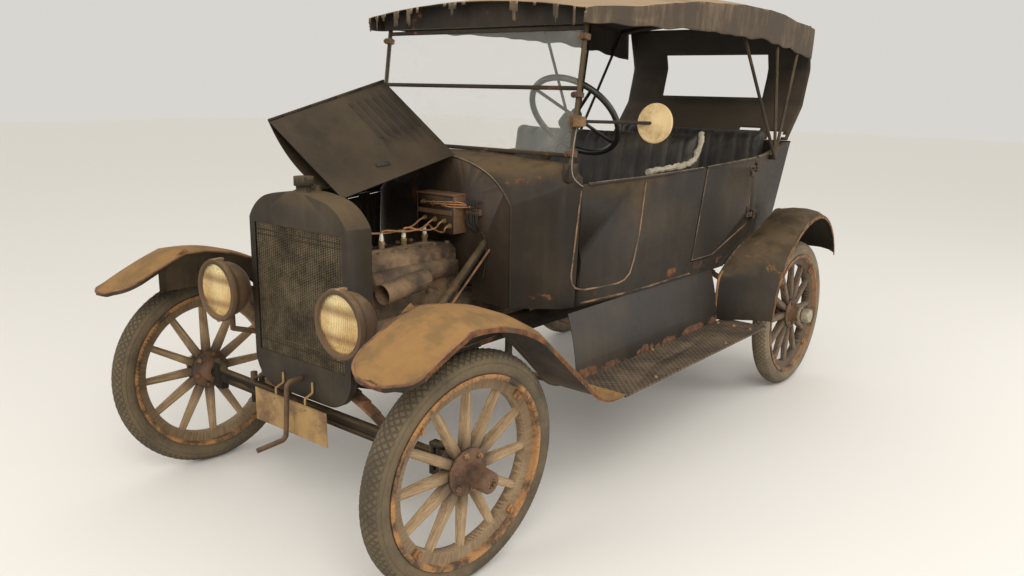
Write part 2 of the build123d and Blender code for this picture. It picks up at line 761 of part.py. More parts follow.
hinge_pin_radius = 4.0
hinge_eye_radius = 8.0
hinge_eye_height = 18.0
hinge_ear_height = 13.0


def hinge_leaves(x, y, level, tilt):
    """A butt hinge on the left side: the door's strap and eye, the body's ears and pin, leaning back by tilt."""
    half = hinge_eye_height / 2
    outer = half + hinge_ear_height
    eye = Pos(x, y, level) * Cylinder(hinge_eye_radius, hinge_eye_height)
    strap = box(x - 38, x - 2, y - 60, y - 5, level - half, level + half)
    moving = joined(eye, strap) - Pos(x, y, level) * Cylinder(hinge_pin_radius + running_gap, 60)
    fixed = Pos(x, y, level) * Cylinder(hinge_pin_radius, 2 * outer)
    for side in (-1, 1):
        z0 = level + side * (half + seat_gap)
        z1 = level + side * outer
        ear = Pos(x, y, (z0 + z1) / 2) * Cylinder(hinge_eye_radius, abs(z1 - z0))
        fixed = joined(fixed, ear, box(x - 14, x + 5, y + 1, y + 20, z0, z1))
    fixed = joined(fixed, box(x - 38, x + 3, y + 10, y + 46, level - outer, level + outer))
    centre = Axis((x, y, level), (1, 0, 0))
    return moving.rotate(centre, -tilt), fixed.rotate(centre, -tilt)


def door_of(side, top, bottom, corner, x0, x1, hinge):
    """The door's own panel and the side panel with its opening cut, with two hinges at the rear edge."""
    door = side & door_prism(top, bottom, corner, 0.0, x0, x1)
    frame = side - door_prism(top, bottom, corner, door_gap, x0, x1)
    for x, y, level in hinge[1:]:
        moving, fixed = hinge_leaves(x, y, level, hinge[0])
        if x0 < 0:
            moving, fixed = mirrored(moving), mirrored(fixed)
        door, frame = door + moving, frame + fixed
    return door, frame


front_door_slant = math.degrees(math.atan2(front_door_top[1] - front_door_bottom[1], belt_z - door_bottom_z))
front_slope = math.tan(math.radians(front_door_slant))
rear_hinge = (0.0, (609.5, 957.5, 1158.0), (609.5, 957.5, 924.0))
front_hinge = (front_door_slant, (603.0, front_door_bottom[1] + front_slope * 350 + 8, 1118.0),
               (603.0, front_door_bottom[1] + front_slope * 60 + 8, 828.0))
door, left_side = door_of(left_side, rear_door_top, rear_door_bottom, True, 300, 800, rear_hinge)
parts["door_rear_left"] = door
door, right_side = door_of(right_side, rear_door_top, rear_door_bottom, True, -800, -300, rear_hinge)
parts["door_rear_right"] = door
door, right_side = door_of(right_side, front_door_top, front_door_bottom, False, -800, -300, front_hinge)
parts["door_front_right"] = door
parts["body_left"] = left_side
parts["body_right"] = right_side
parts["body_back"] = back_panel


def make_floor():
    inner = loft([tub_outline(0, wall + 0.4), tub_outline(1, wall + 0.4)], ruled=True)
    boards = inner & box(-800, 800, cowl_rear_y + 30, body_rear_y - 40, floor_z, floor_z + floor_thickness)
    sill = box(frame_half_width - 38, frame_half_width - 2, cowl_rear_y + 30, frame_rear_y - 20,
               frame_top_z + seat_gap, floor_z + 1)
    return joined(boards, sill, mirrored(sill))


parts["floor"] = make_floor()


# Seats

def make_seat_boxes():
    top = cushion_z[0] - soft_gap
    bottom = floor_z + floor_thickness
    front = box(-seat_half_width + 30, seat_half_width - 30, front_seat_y[0] + 20, front_seat_y[1], bottom, top)
    rear = box(-rear_seat_half_width, rear_seat_half_width, rear_seat_y[0] + 20, rear_seat_y[1], bottom, top)
    return Compound([front.solid(), rear.solid()])


parts["seat_boxes"] = make_seat_boxes()


def make_seat(span, back_top, half_width):
    cushion = box(-half_width, half_width, span[0], span[1], cushion_z[0], cushion_z[1])
    back = side_prism([(span[1] + soft_gap, cushion_z[0]), (span[1] + 75, cushion_z[0]),
                       (back_top[0] + 40, back_top[1] - 20), (back_top[0], back_top[1]),
                       (back_top[0] - 45, back_top[1] - 20), (span[1] + soft_gap, cushion_z[1] + 60)],
                      -half_width, half_width)
    return Compound([cushion.solid(), back.solid()])


parts["seat_front"] = make_seat(front_seat_y, front_back_top, seat_half_width)
parts["seat_rear"] = make_seat(rear_seat_y, rear_back_top, rear_seat_half_width)


# Running boards and splash aprons

def make_running_boards():
    board = box(board_inner_x, fender_outer_x, board_front_y, board_rear_y,
                board_top_z - board_thickness, board_top_z)
    for y in (-board_hole_spacing / 2, board_hole_spacing / 2):
        board = board - Pos((board_inner_x + fender_outer_x) / 2, y, board_top_z) * Cylinder(board_hole_radius, 40)
    return both_sides(board)


parts["running_boards"] = make_running_boards()


def make_splash_aprons():
    """A bulging sheet from the body's sill down to the board on each side."""
    y = board_front_y + 4
    top, bottom = sill_z - seat_gap, board_top_z - 6
    x_top, x_bottom = sill_half_width - 14, board_inner_x - seat_gap
    bulge = (598.5, 590.0)
    outer = ThreePointArc((x_top, y, top), (bulge[0], y, bulge[1]), (x_bottom, y, bottom))
    inner = ThreePointArc((x_top - sheet, y, top), (bulge[0] - sheet, y, bulge[1]), (x_bottom - sheet, y, bottom))
    face = make_face([outer, Line(outer @ 1, inner @ 1), inner, Line(inner @ 0, outer @ 0)])
    return both_sides(extrude(face, amount=apron_rear_y - y, dir=(0, 1, 0)))


parts["splash_aprons"] = make_splash_aprons()


# Windscreen

def make_windscreen():
    base = (screen_half_width, screen_base_y, screen_base_z)
    top = (screen_half_width, screen_top_y, screen_top_z)
    foot_low = (base[0], base[1] - 10, base[2] - 72)
    foot = box(base[0] - 16, base[0] + 13, base[1] - 28, base[1] + 26, base[2] - 80, base[2] - 14) - cowl_form
    post = rod(foot_low, top, screen_post_radius) - cowl_form
    post = max(post.solids(), key=lambda s: s.volume) + foot
    shape = joined(post, mirrored(post))
    for share in (0.03, 0.53, 0.97):
        y = base[1] + (top[1] - base[1]) * share
        z = base[2] + (top[2] - base[2]) * share
        shape = shape + rod((-base[0], y, z), (base[0], y, z), screen_bar_radius)
    share = (mirror_centre[2] - base[2]) / (top[2] - base[2])
    arm = rod((screen_half_width, base[1] + (top[1] - base[1]) * share, mirror_centre[2]), mirror_centre, 6)
    disc = Pos(*mirror_centre) * Rot(84, 0, 0) * Cylinder(mirror_radius, 14)
    return joined(shape, arm, disc)


parts["windscreen_frame"] = make_windscreen()


def make_glass():
    panes = []
    edge = (screen_bar_radius + seat_gap) / (screen_top_z - screen_base_z)
    for low, high in ((0.03 + edge, 0.53 - edge), (0.53 + edge, 0.97 - edge)):
        points = []
        for share, off in ((low, -2), (low, 2), (high, 2), (high, -2)):
            points.append((screen_base_y + (screen_top_y - screen_base_y) * share + off,
                           screen_base_z + (screen_top_z - screen_base_z) * share))
        side_gap = screen_post_radius + seat_gap
        panes.append(side_prism(points, -screen_half_width + side_gap, screen_half_width - side_gap).solid())
    return Compound(panes)


parts["windscreen_glass"] = make_glass()


# Steering column, wheel, pitman arm and linkage

def make_column():
    tube = rod(along_column(62), along_column(column_length), column_radius)
    gear_case = rod(along_column(62), along_column(24), 44)
    hollow = rod(along_column(58), along_column(28), 38)
    bore = rod(along_column(-10), along_column(column_length + 5), 8 + running_gap)
    y = column_bottom[1] + 70
    collar = box(column_bottom[0] - 24, frame_half_width - rail_flange - 4, y - 15, y + 15, 596, frame_top_z + 8)
    plate = box(column_bottom[0] - 24, frame_half_width - rail_wall - seat_gap, y - 15, y + 15,
                frame_top_z + seat_gap, frame_top_z + 8)
    return joined(tube, gear_case, collar, plate) - hollow - bore


parts["steering_column"] = make_column()


def make_steering_wheel():
    plane = Plane(origin=along_column(0), z_dir=column_axis)
    rim = plane * revolve(Plane.XZ * Pos(steering_wheel_radius, 0) * Circle(13), Axis.Z)
    hub = joined(rod(along_column(18), along_column(-22), 24), rod(along_column(28.5), along_column(10), 8))
    shape = joined(rim, hub)
    for index in range(4):
        turn = math.radians(45 + 90 * index)
        direction = plane.x_dir * math.cos(turn) + plane.y_dir * math.sin(turn)
        end = plane.origin + direction * (steering_wheel_radius - 4)
        shape = shape + rod(along_column(0), (end.X, end.Y, end.Z), 7)
    return shape


parts["steering_wheel"] = make_steering_wheel()


pitman_length = 127.0
knuckle_arm_length = 140.0
arm_z = spindle_z - 62.0
tie_y = front_axle_y + knuckle_arm_length
link_pin_radius = 6.0
pitman_foot = Vector(*along_column(column_length + 16))
pitman_tip = pitman_foot + Vector(0, column_axis.Z, -column_axis.Y) * pitman_length


def make_pitman():
    """The shaft inside the column, and the arm at its foot with the drag link's pin."""
    shaft = rod(along_column(31), along_column(column_length + 18), 8)
    collar = rod(along_column(column_length + 4), along_column(column_length + 28), 19)
    boss = rod(tuple(pitman_tip + column_axis * 9), tuple(pitman_tip - column_axis * 9), 13)
    pin = rod(tuple(pitman_tip - column_axis * 4), tuple(pitman_tip - column_axis * 36), link_pin_radius)
    along = (pitman_tip - pitman_foot).normalized()
    arm = rod(tuple(pitman_foot + along * 5), tuple(pitman_tip - along * 3), 8.5)
    return joined(shaft, collar, arm, boss, pin)


parts["pitman_arm"] = make_pitman()


def steered(shape, side):
    """A front wheel's shape turned about its kingpin to the angle at rest."""
    pivot = Axis((side * kingpin_x, front_axle_y, 0), (0, 0, 1))
    return shape.rotate(pivot, -steer_at_rest)


def leaning(shape, side):
    """A front wheel's shape leaned out at its top by the camber."""
    pivot = Axis((side * track / 2, front_axle_y, spindle_z), (0, 1, 0))
    return shape.rotate(pivot, side * front_camber)


def make_knuckle(side):
    """The spindle body on its kingpin, the spindle and the steering arm."""
    z = spindle_z
    x = side * kingpin_x
    body = Pos(x, front_axle_y, z) * Cylinder(19, 2 * fork_half - 0.6)
    boss = rod((x, front_axle_y, z), (x + side * 29, front_axle_y, z), 20)
    spindle = rod((x + side * 16, front_axle_y, z),
                  (side * (track / 2 + hub_length_out - 14), front_axle_y, z), hub_bore_radius - running_gap)
    arm = bent_rod([(x, front_axle_y + 8, z - 25), (x + side * 6, front_axle_y + 62, z - 46),
                    (x - side * 24, tie_y, arm_z)], 9, 40)
    eye = Pos(x - side * 24, tie_y, arm_z) * Cylinder(15, 20)
    shape = joined(body, boss, leaning(spindle, side), arm, eye)
    shape = shape - Pos(x, front_axle_y, z) * Cylinder(kingpin_radius + running_gap, 2 * fork_half + 10)
    shape = shape - Pos(x - side * 24, tie_y, arm_z) * Cylinder(6 + running_gap, 60)
    return steered(shape, side)


parts["knuckle_left"] = make_knuckle(1)
parts["knuckle_right"] = make_knuckle(-1)


def turned_point(x, y):
    """A knuckle point's place in plan at rest, turned about its kingpin."""
    side = 1 if x > 0 else -1
    px, py = side * kingpin_x, front_axle_y
    c, s = math.cos(math.radians(steer_at_rest)), -math.sin(math.radians(steer_at_rest))
    return (px + (x - px) * c - (y - py) * s, py + (x - px) * s + (y - py) * c)


def make_tie_rod():
    left = turned_point(kingpin_x - 24, tie_y)
    right = turned_point(-kingpin_x + 24, tie_y)
    z = arm_z - 24
    bar = rod((left[0] - 12, left[1], z), (right[0] + 12, right[1], z), 10)
    shape = bar
    for point in (left, right):
        shape = shape + Pos(point[0], point[1], z) * Cylinder(15, 24)
    pin = Pos(left[0], left[1], arm_z - 2) * Cylinder(6, 36)
    return shape + pin


parts["tie_rod"] = make_tie_rod()


def make_drag_link():
    """The rod from the pitman arm's pin across to the tie rod; its far end is open."""
    near = pitman_tip - column_axis * 21
    eye = rod(tuple(near + column_axis * 11), tuple(near - column_axis * 11), 14)
    end = (-540, turned_point(-kingpin_x + 24, tie_y)[1] + 6, arm_z + 36)
    toward = (Vector(*end) - near).normalized()
    bar = rod(tuple(near + toward * 8), end, 8)
    socket = rod(end, (end[0], end[1], arm_z - 9), 12)
    bore = rod(tuple(near + column_axis * 30), tuple(near - column_axis * 30), link_pin_radius + running_gap)
    return joined(bar, socket, eye) - bore


parts["drag_link"] = make_drag_link()


# Wheels: twelve wooden spokes, a wooden felloe in a steel rim, and a flanged hub

def make_wheel(side, front):
    """A wheel about the Y axis of its own plane, built with its axle along X."""
    hub_profile = Polyline((hub_bore_radius, -hub_length_in), (46, -hub_length_in), (46, -hub_flange_gap / 2),
                           (46, hub_flange_gap / 2), (hub_barrel_radius + 4, hub_flange_gap / 2 + 12),
                           (hub_barrel_radius, hub_length_out - 6), (hub_barrel_radius - 8, hub_length_out),
                           (hub_bore_radius, hub_length_out), close=True)
    axis = Axis((0, 0, 0), (0, 0, 1))
    hub = revolve(Plane.XZ * make_face(hub_profile), axis)
    flange_z = hub_flange_gap / 2 - hub_flange_wall / 2
    for z in (-flange_z, flange_z):
        hub = hub + Pos(0, 0, z) * Cylinder(hub_flange_radius, hub_flange_wall)
    felloe = Cylinder(rim_inner_radius + 1, 2 * felloe_half_width) - Cylinder(felloe_inner_radius, 100)
    rim_profile = Polyline((rim_inner_radius, -rim_half_width), (rim_outer_radius, -rim_half_width),
                           (rim_outer_radius, -rim_half_width + 5), (rim_inner_radius + 6, -rim_half_width + 9),
                           (rim_inner_radius + 6, rim_half_width - 9), (rim_outer_radius, rim_half_width - 5),
                           (rim_outer_radius, rim_half_width), (rim_inner_radius, rim_half_width), close=True)
    rim = revolve(Plane.XZ * make_face(rim_profile), axis)
    shape = joined(hub, felloe, rim)
    spoke_depth = hub_flange_gap - 2 * hub_flange_wall + 1
    for index in range(spoke_count):
        root = Plane(origin=(40, 0, 0), z_dir=(1, 0, 0)) * RectangleRounded(spoke_root_width * 0.62, spoke_depth, 8)
        waist = Plane(origin=(hub_flange_radius + 24, 0, 0), z_dir=(1, 0, 0)) * RectangleRounded(
            spoke_root_width, spoke_depth - 4, 10)
        tip = Plane(origin=(felloe_inner_radius + 2, 0, 0), z_dir=(1, 0, 0)) * RectangleRounded(
            spoke_tip_width, spoke_tip_width, 10)
        spoke = loft([waist, tip], ruled=True) + loft([root, waist], ruled=True)
        shape = shape + Rot(0, 0, 360 / spoke_count * index) * spoke
    shape = shape - Cylinder(hub_bore_radius, 500)
    return place_wheel(shape, side, front)


def place_wheel(shape, side, front):
    """A wheel or tyre built about Z, carried to its own hub."""
    y, z = (front_axle_y, spindle_z) if front else (rear_axle_y, tyre_radius)
    placed = Pos(side * track / 2, y, z) * Rot(0, side * 90, 0) * shape
    return steered(leaning(placed, side), side) if front else placed


def make_tyre(side, front):
    """A clincher tyre: round outside, flat beads in the rim."""
    middle = tyre_radius - tyre_section
    bead = rim_outer_radius - 3
    half_bead = rim_half_width - 8
    outer = ThreePointArc((bead + 4, -half_bead - 3), (tyre_radius, 0), (bead + 4, half_bead + 3))
    edges = [outer, Line(outer @ 1, (rim_inner_radius + 6.3, half_bead - 3)),
             Line((rim_inner_radius + 6.3, half_bead - 3), (rim_inner_radius + 6.3, -half_bead + 3)),
             Line((rim_inner_radius + 6.3, -half_bead + 3), outer @ 0)]
    tyre = revolve(Plane.XZ * make_face(edges), Axis((0, 0, 0), (0, 0, 1)))
    return place_wheel(tyre, side, front)


for side, side_name in ((1, "left"), (-1, "right")):
    for front, end_name in ((True, "front"), (False, "rear")):
        parts[f"wheel_{end_name}_{side_name}"] = make_wheel(side, front)
        parts[f"tyre_{end_name}_{side_name}"] = make_tyre(side, front)


# Bonnet: two curved tops hinged on the centreline, and two flat sides with louvres

hinge_radius = 5.0
bonnet_axis_start = Vector(0, bonnet_front_y, bonnet_crown_front_z)
bonnet_axis_end = Vector(0, bonnet_rear_y, bonnet_crown_rear_z)
seam_start = Vector(bonnet_seam_front[0], bonnet_front_y, bonnet_seam_front[1])
seam_end = Vector(bonnet_seam_rear[0], bonnet_rear_y, bonnet_seam_rear[1])


def top_section(y, crown, seam, inset):
    """Half of the bonnet's top in front view, from the centre hinge to the side seam."""
    start = (inset, y, crown)
    end = (seam[0], y, seam[1] + 6)
    bulge = (seam[0] * 0.62, y, crown - (crown - seam[1]) * 0.27)
    upper = ThreePointArc(start, bulge, end)
    lower = ThreePointArc((start[0], y, start[2] - sheet), (bulge[0] - 1, y, bulge[2] - sheet),
                          (end[0] - sheet, y, end[2]))
    return make_face([upper, Line(upper @ 1, lower @ 1), lower, Line(lower @ 0, upper @ 0)])


centre_knuckle_radius = 7.5
seam_pin_radius = 2.5
seam_knuckle_radius = 5.0
knuckle_count = 9


def hinge_row(start, end, section, first):
    """Every other knuckle of a long hinge: a section drawn out along the axis, with end gaps."""
    axis = (end - start).normalized()
    pitch = (end - start).length / knuckle_count
    row = None
    for index in range(first, knuckle_count, 2):
        plane = Plane(origin=start + axis * (index * pitch + seat_gap), x_dir=(1, 0, 0), z_dir=axis)
        knuckle = extrude(plane * section, amount=pitch - 2 * seat_gap)
        row = knuckle if row is None else row + knuckle
    return row


def make_bonnet_top(first):
    """A bonnet top; first says which knuckles of the centre hinge are its own."""
    front = top_section(bonnet_front_y, bonnet_crown_front_z, bonnet_seam_front, centre_knuckle_radius + 1)
    rear = top_section(bonnet_rear_y, bonnet_crown_rear_z, bonnet_seam_rear, centre_knuckle_radius + 1)
    panel = loft([front, rear], ruled=True)
    web = Pos(8, sheet / 2) * Rectangle(5, sheet)
    eye = Circle(centre_knuckle_radius) + web - Circle(hinge_radius + running_gap)
    seam_web = Pos(-sheet / 2, -6) * Rectangle(sheet, 5)
    seam = Circle(seam_knuckle_radius) + seam_web
    pin = rod(tuple(seam_start), tuple(seam_end), seam_pin_radius)
    return joined(panel, hinge_row(bonnet_axis_start, bonnet_axis_end, eye, first),
                  hinge_row(seam_start, seam_end, seam, 0), pin)


def make_bonnet_side():
    f, r = bonnet_seam_front, bonnet_seam_rear
    y0, y1 = bonnet_front_y, bonnet_rear_y
    ends = []
    for (x, z), y, slant in ((f, y0, 0.0), (r, y1, side_rear_slant)):
        top = z - seam_knuckle_radius - 1.5
        low = bonnet_ledge_z + 2
        ends.append(make_face(Polyline((x - sheet, y, top), (x, y, top), (x + 2, y - slant, low),
                                       (x + 2 - sheet, y - slant, low), close=True)))
    web = Pos(-sheet / 2, 6) * Rectangle(sheet, 5)
    eye = Circle(seam_knuckle_radius) + web - Circle(seam_pin_radius + running_gap)
    side = loft(ends, ruled=True) + hinge_row(seam_start, seam_end, eye, 1)
    for index in range(flute_count):
        share = flute_shares[0] + (flute_shares[1] - flute_shares[0]) * index / (flute_count - 1)
        x = f[0] + (r[0] - f[0]) * share - sheet / 2
        y = y0 + (y1 - y0) * share
        side = side + rod((x, y, flute_z[1]), (x + 1, y - side_rear_slant * share * 0.6, flute_z[0]), flute_radius)
    return side


bonnet_axis = Axis(tuple(bonnet_axis_start), tuple(bonnet_axis_end - bonnet_axis_start))
seam_axis = Axis(tuple(seam_start), tuple(seam_end - seam_start))
top_closed = make_bonnet_top(0)
side_closed = make_bonnet_side()
parts["bonnet_top_left"] = top_closed.rotate(bonnet_axis, -bonnet_open_angle)
parts["bonnet_side_left"] = side_closed.rotate(seam_axis, bonnet_side_fold).rotate(bonnet_axis, -bonnet_open_angle)
parts["bonnet_top_right"] = mirrored(make_bonnet_top(1))
parts["bonnet_side_right"] = mirrored(side_closed)
bonnet_line = (bonnet_axis_end - bonnet_axis_start).normalized()
parts["bonnet_rod"] = rod(tuple(bonnet_axis_start - bonnet_line * 1.2), tuple(bonnet_axis_end + bonnet_line * 4.9),
                          hinge_radius)


# Folding top: bows and irons, and the fabric roof with its back curtain

def roof_section(y, half_width, edge_z, crown_z, skirt, inset):
    """An arched roof section with hanging side skirts."""
    w = half_width - inset
    arch = ThreePointArc((-w, y, edge_z - inset), (0, y, crown_z - inset), (w, y, edge_z - inset))
    return make_face([arch, Line((w, y, edge_z - inset), (w, y, edge_z - skirt - inset * 3)),
                      Line((w, y, edge_z - skirt - inset * 3), (-w, y, edge_z - skirt - inset * 3)),
                      Line((-w, y, edge_z - skirt - inset * 3), (-w, y, edge_z - inset))])


# Stations of the roof: y, half width, edge height, crown height, skirt length
roof_stations = [
    (roof_front_y, 560.0, 1795.0, 1838.0, 45.0),
    (300.0, 596.0, 1890.0, 1955.0, 120.0),
    (1000.0, 598.0, 1905.0, 1965.0, 140.0),
    (roof_rear_y, 580.0, 1850.0, 1895.0, 150.0),
]


def make_roof():
    outer = loft([roof_section(*row, 0.0) for row in roof_stations], ruled=True)
    rows = [list(row) for row in roof_stations]
    rows[0][0] -= 1
    rows[-1][0] += 1
    inner = loft([roof_section(*row, roof_sheet) for row in rows], ruled=True)
    roof = outer - inner
    back = side_prism([(roof_rear_y - 8, 1870), (roof_rear_y, 1840), (1705, 1640), (1640, 1440), (1478, 1262),
                       (1472, 1262), (1634, 1443), (1698, 1640), (roof_rear_y - 8, 1800)], -560, 560)
    window = box(-330, 330, 1300, 1800, 1470, 1730)
    return roof + (back - window)


parts["top_roof"] = make_roof()


def roof_at(y):
    """Half width, edge height and crown height of the roof at a place along the car."""
    for near, far in zip(roof_stations, roof_stations[1:]):
        if y <= far[0]:
            break
    share = (y - near[0]) / (far[0] - near[0])
    return [a + (b - a) * share for a, b in zip(near[1:4], far[1:4])]


def arch_height(x, half_width, edge, crown):
    """The height at x of a roof arc through its two edges and its crown."""
    rise = crown - edge
    radius = (half_width ** 2 + rise ** 2) / (2 * rise)
    return crown - radius + math.sqrt(radius ** 2 - x ** 2)


bow_radius = 11.0
iron_radius = 8.0
iron_pivot = (593.0, 1150.0, 1195.0)
bow_x = 556.0


def make_top_frame():
    shape = None
    top_of_pivot = (iron_pivot[0] + 22, iron_pivot[1], iron_pivot[2])
    boss = rod((iron_pivot[0] - 10, iron_pivot[1], iron_pivot[2]),
               (iron_pivot[0] + 30, iron_pivot[1], iron_pivot[2]), 12) - tub_form
    for y in (720.0, 1190.0, 1520.0):
        half_width, edge, crown = roof_at(y)
        drop = roof_sheet + bow_radius + 0.7
        end_z = arch_height(bow_x, half_width - roof_sheet, edge, crown) - drop
        arch = ThreePointArc((-bow_x, y, end_z), (0, y, crown - drop), (bow_x, y, end_z))
        bow = sweep(Plane(origin=arch @ 0, z_dir=arch % 0) * Circle(bow_radius), arch)
        shape = bow if shape is None else shape + bow
        iron = rod(top_of_pivot, (bow_x, y, end_z), iron_radius)
        shape = joined(shape, iron, mirrored(iron))
    half_width, edge, crown = roof_at(screen_top_y - 18)
    x = bow_x - 26
    end_z = arch_height(x, half_width - roof_sheet, edge, crown) - roof_sheet - 0.7
    y = screen_top_y - 18
    arch = ThreePointArc((-x, y, end_z), (0, y, crown - roof_sheet - 0.7), (x, y, end_z))
    low = screen_top_z + 1.6
    header = extrude(make_face([arch, Polyline((x, y, end_z), (x, y, low), (-x, y, low), (-x, y, end_z))]),
                     amount=36, dir=(0, 1, 0))
    return joined(shape, boss, mirrored(boss)) + header


parts["top_frame"] = make_top_frame()


# Starting handle and the blank plate under the radiator

def make_crank():
    y = radiator_front_y
    return bent_rod([(0, y + 34, 520), (0, y - 62, 520), (0, y - 75, 318), (0, y - 190, 312)], crank_radius, 22)


parts["crank"] = make_crank()


def make_number_plate():
    """A blank plate on two straps from the apron, with its two bolt holes."""
    y = radiator_front_y - 42
    plate = box(-218, 182, y, y + 2, 325, 448)
    for x in (-100.0, 64.0):
        bar = bent_rod([(x, y + 5, 350), (x, y + 5, 470), (x, radiator_front_y - 4.3, 482),
                        (x, radiator_front_y - 4.3, 520)], 4, 6)
        plate = plate + bar
    plate = plate - Pos(-18 - plate_bolt_spacing / 2, y, 430) * Rot(90, 0, 0) * Cylinder(plate_bolt_radius, 20)
    plate = plate - Pos(-18 + plate_bolt_spacing / 2, y, 430) * Rot(90, 0, 0) * Cylinder(plate_bolt_radius, 20)
    return plate


plate_bolt_spacing = 178.0
plate_bolt_radius = 3.5
parts["number_plate"] = make_number_plate()


def write_parts():
    os.makedirs("parts", exist_ok=True)
    for name, shape in parts.items():
        if isinstance(shape, ShapeList):
            shape = Compound(list(shape))
        export_step(shape, f"parts/{name}.step")
        print(name, len(shape.solids()), round(sum(s.volume for s in shape.solids()) / 1000))


write_parts()
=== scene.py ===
"""The looks of a weathered open touring car of the 1920s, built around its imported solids."""

from __future__ import annotations

import json
import logging
import math
from dataclasses import dataclass, field
from enum import Enum
from typing import Callable, Sequence

import bmesh
import bpy
from mathutils import Matrix, Vector, noise
from mathutils.bvhtree import BVHTree
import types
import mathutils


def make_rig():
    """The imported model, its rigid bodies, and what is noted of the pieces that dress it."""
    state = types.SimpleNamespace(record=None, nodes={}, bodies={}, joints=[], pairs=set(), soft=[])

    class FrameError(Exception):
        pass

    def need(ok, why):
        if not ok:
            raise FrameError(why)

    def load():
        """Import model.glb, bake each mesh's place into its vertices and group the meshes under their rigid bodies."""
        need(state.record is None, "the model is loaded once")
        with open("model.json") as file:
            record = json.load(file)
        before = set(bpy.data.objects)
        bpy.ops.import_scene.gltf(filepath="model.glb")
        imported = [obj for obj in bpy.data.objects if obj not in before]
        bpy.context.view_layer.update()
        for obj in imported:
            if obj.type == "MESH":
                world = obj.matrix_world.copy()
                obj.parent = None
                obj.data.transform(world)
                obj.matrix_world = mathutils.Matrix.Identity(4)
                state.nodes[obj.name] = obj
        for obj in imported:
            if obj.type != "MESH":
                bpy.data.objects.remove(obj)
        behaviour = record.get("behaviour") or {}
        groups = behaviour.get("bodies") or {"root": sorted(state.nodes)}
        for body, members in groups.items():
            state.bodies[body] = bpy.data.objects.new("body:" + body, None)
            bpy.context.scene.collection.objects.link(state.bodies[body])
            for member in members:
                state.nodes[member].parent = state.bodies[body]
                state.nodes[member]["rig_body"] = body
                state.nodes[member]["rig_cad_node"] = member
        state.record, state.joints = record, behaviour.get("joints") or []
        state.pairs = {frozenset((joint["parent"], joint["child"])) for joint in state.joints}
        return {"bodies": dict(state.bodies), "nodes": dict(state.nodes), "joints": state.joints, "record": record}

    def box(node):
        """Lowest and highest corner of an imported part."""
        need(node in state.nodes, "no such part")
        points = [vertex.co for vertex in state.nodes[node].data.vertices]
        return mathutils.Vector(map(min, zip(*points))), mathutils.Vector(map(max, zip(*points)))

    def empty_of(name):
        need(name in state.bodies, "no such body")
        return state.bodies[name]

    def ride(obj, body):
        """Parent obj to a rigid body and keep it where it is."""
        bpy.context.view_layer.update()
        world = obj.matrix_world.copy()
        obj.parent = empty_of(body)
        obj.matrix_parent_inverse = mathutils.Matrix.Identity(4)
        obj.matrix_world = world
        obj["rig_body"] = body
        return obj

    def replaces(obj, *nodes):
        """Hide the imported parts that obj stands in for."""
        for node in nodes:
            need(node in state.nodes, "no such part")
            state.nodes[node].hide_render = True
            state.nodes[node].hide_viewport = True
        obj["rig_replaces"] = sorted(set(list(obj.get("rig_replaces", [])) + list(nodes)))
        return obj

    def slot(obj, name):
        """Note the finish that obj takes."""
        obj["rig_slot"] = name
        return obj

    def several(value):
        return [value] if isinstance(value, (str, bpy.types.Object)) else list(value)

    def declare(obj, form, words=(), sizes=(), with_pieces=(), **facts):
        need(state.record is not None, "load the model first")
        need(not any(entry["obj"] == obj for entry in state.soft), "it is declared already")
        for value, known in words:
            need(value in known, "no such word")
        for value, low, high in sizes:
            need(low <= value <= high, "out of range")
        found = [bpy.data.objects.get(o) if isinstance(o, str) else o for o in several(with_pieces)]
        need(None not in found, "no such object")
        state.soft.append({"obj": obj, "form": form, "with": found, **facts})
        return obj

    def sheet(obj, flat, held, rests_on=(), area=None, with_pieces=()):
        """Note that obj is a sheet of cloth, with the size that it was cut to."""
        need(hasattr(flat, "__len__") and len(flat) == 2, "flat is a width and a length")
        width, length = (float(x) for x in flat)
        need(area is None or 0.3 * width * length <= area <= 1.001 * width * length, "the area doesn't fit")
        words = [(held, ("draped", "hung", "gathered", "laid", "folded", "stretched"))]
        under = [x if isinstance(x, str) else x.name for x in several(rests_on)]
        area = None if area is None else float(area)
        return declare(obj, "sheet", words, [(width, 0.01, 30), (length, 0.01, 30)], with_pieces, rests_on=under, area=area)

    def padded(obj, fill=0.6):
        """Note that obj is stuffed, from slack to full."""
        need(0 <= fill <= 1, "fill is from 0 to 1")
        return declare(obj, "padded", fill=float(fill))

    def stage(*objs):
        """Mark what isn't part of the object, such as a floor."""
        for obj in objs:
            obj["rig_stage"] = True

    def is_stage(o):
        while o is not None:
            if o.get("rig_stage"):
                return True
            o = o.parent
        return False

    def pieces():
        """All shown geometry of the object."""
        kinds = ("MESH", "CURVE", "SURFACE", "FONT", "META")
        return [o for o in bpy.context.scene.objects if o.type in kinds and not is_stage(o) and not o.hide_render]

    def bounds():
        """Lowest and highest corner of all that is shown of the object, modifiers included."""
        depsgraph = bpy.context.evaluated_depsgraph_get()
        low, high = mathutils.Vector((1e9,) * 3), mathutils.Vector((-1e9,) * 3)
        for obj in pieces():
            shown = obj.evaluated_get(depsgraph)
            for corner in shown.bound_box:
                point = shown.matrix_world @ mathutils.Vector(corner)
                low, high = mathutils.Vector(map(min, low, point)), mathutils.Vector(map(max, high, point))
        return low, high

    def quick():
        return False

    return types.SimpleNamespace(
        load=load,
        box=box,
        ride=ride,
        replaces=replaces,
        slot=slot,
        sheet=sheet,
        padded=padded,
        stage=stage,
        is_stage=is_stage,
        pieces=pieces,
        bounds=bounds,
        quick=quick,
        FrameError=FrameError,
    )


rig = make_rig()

LOG = logging.getLogger("touring_car")
SIZE_FILE = "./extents.json"
Colour = tuple[float, float, float, float]
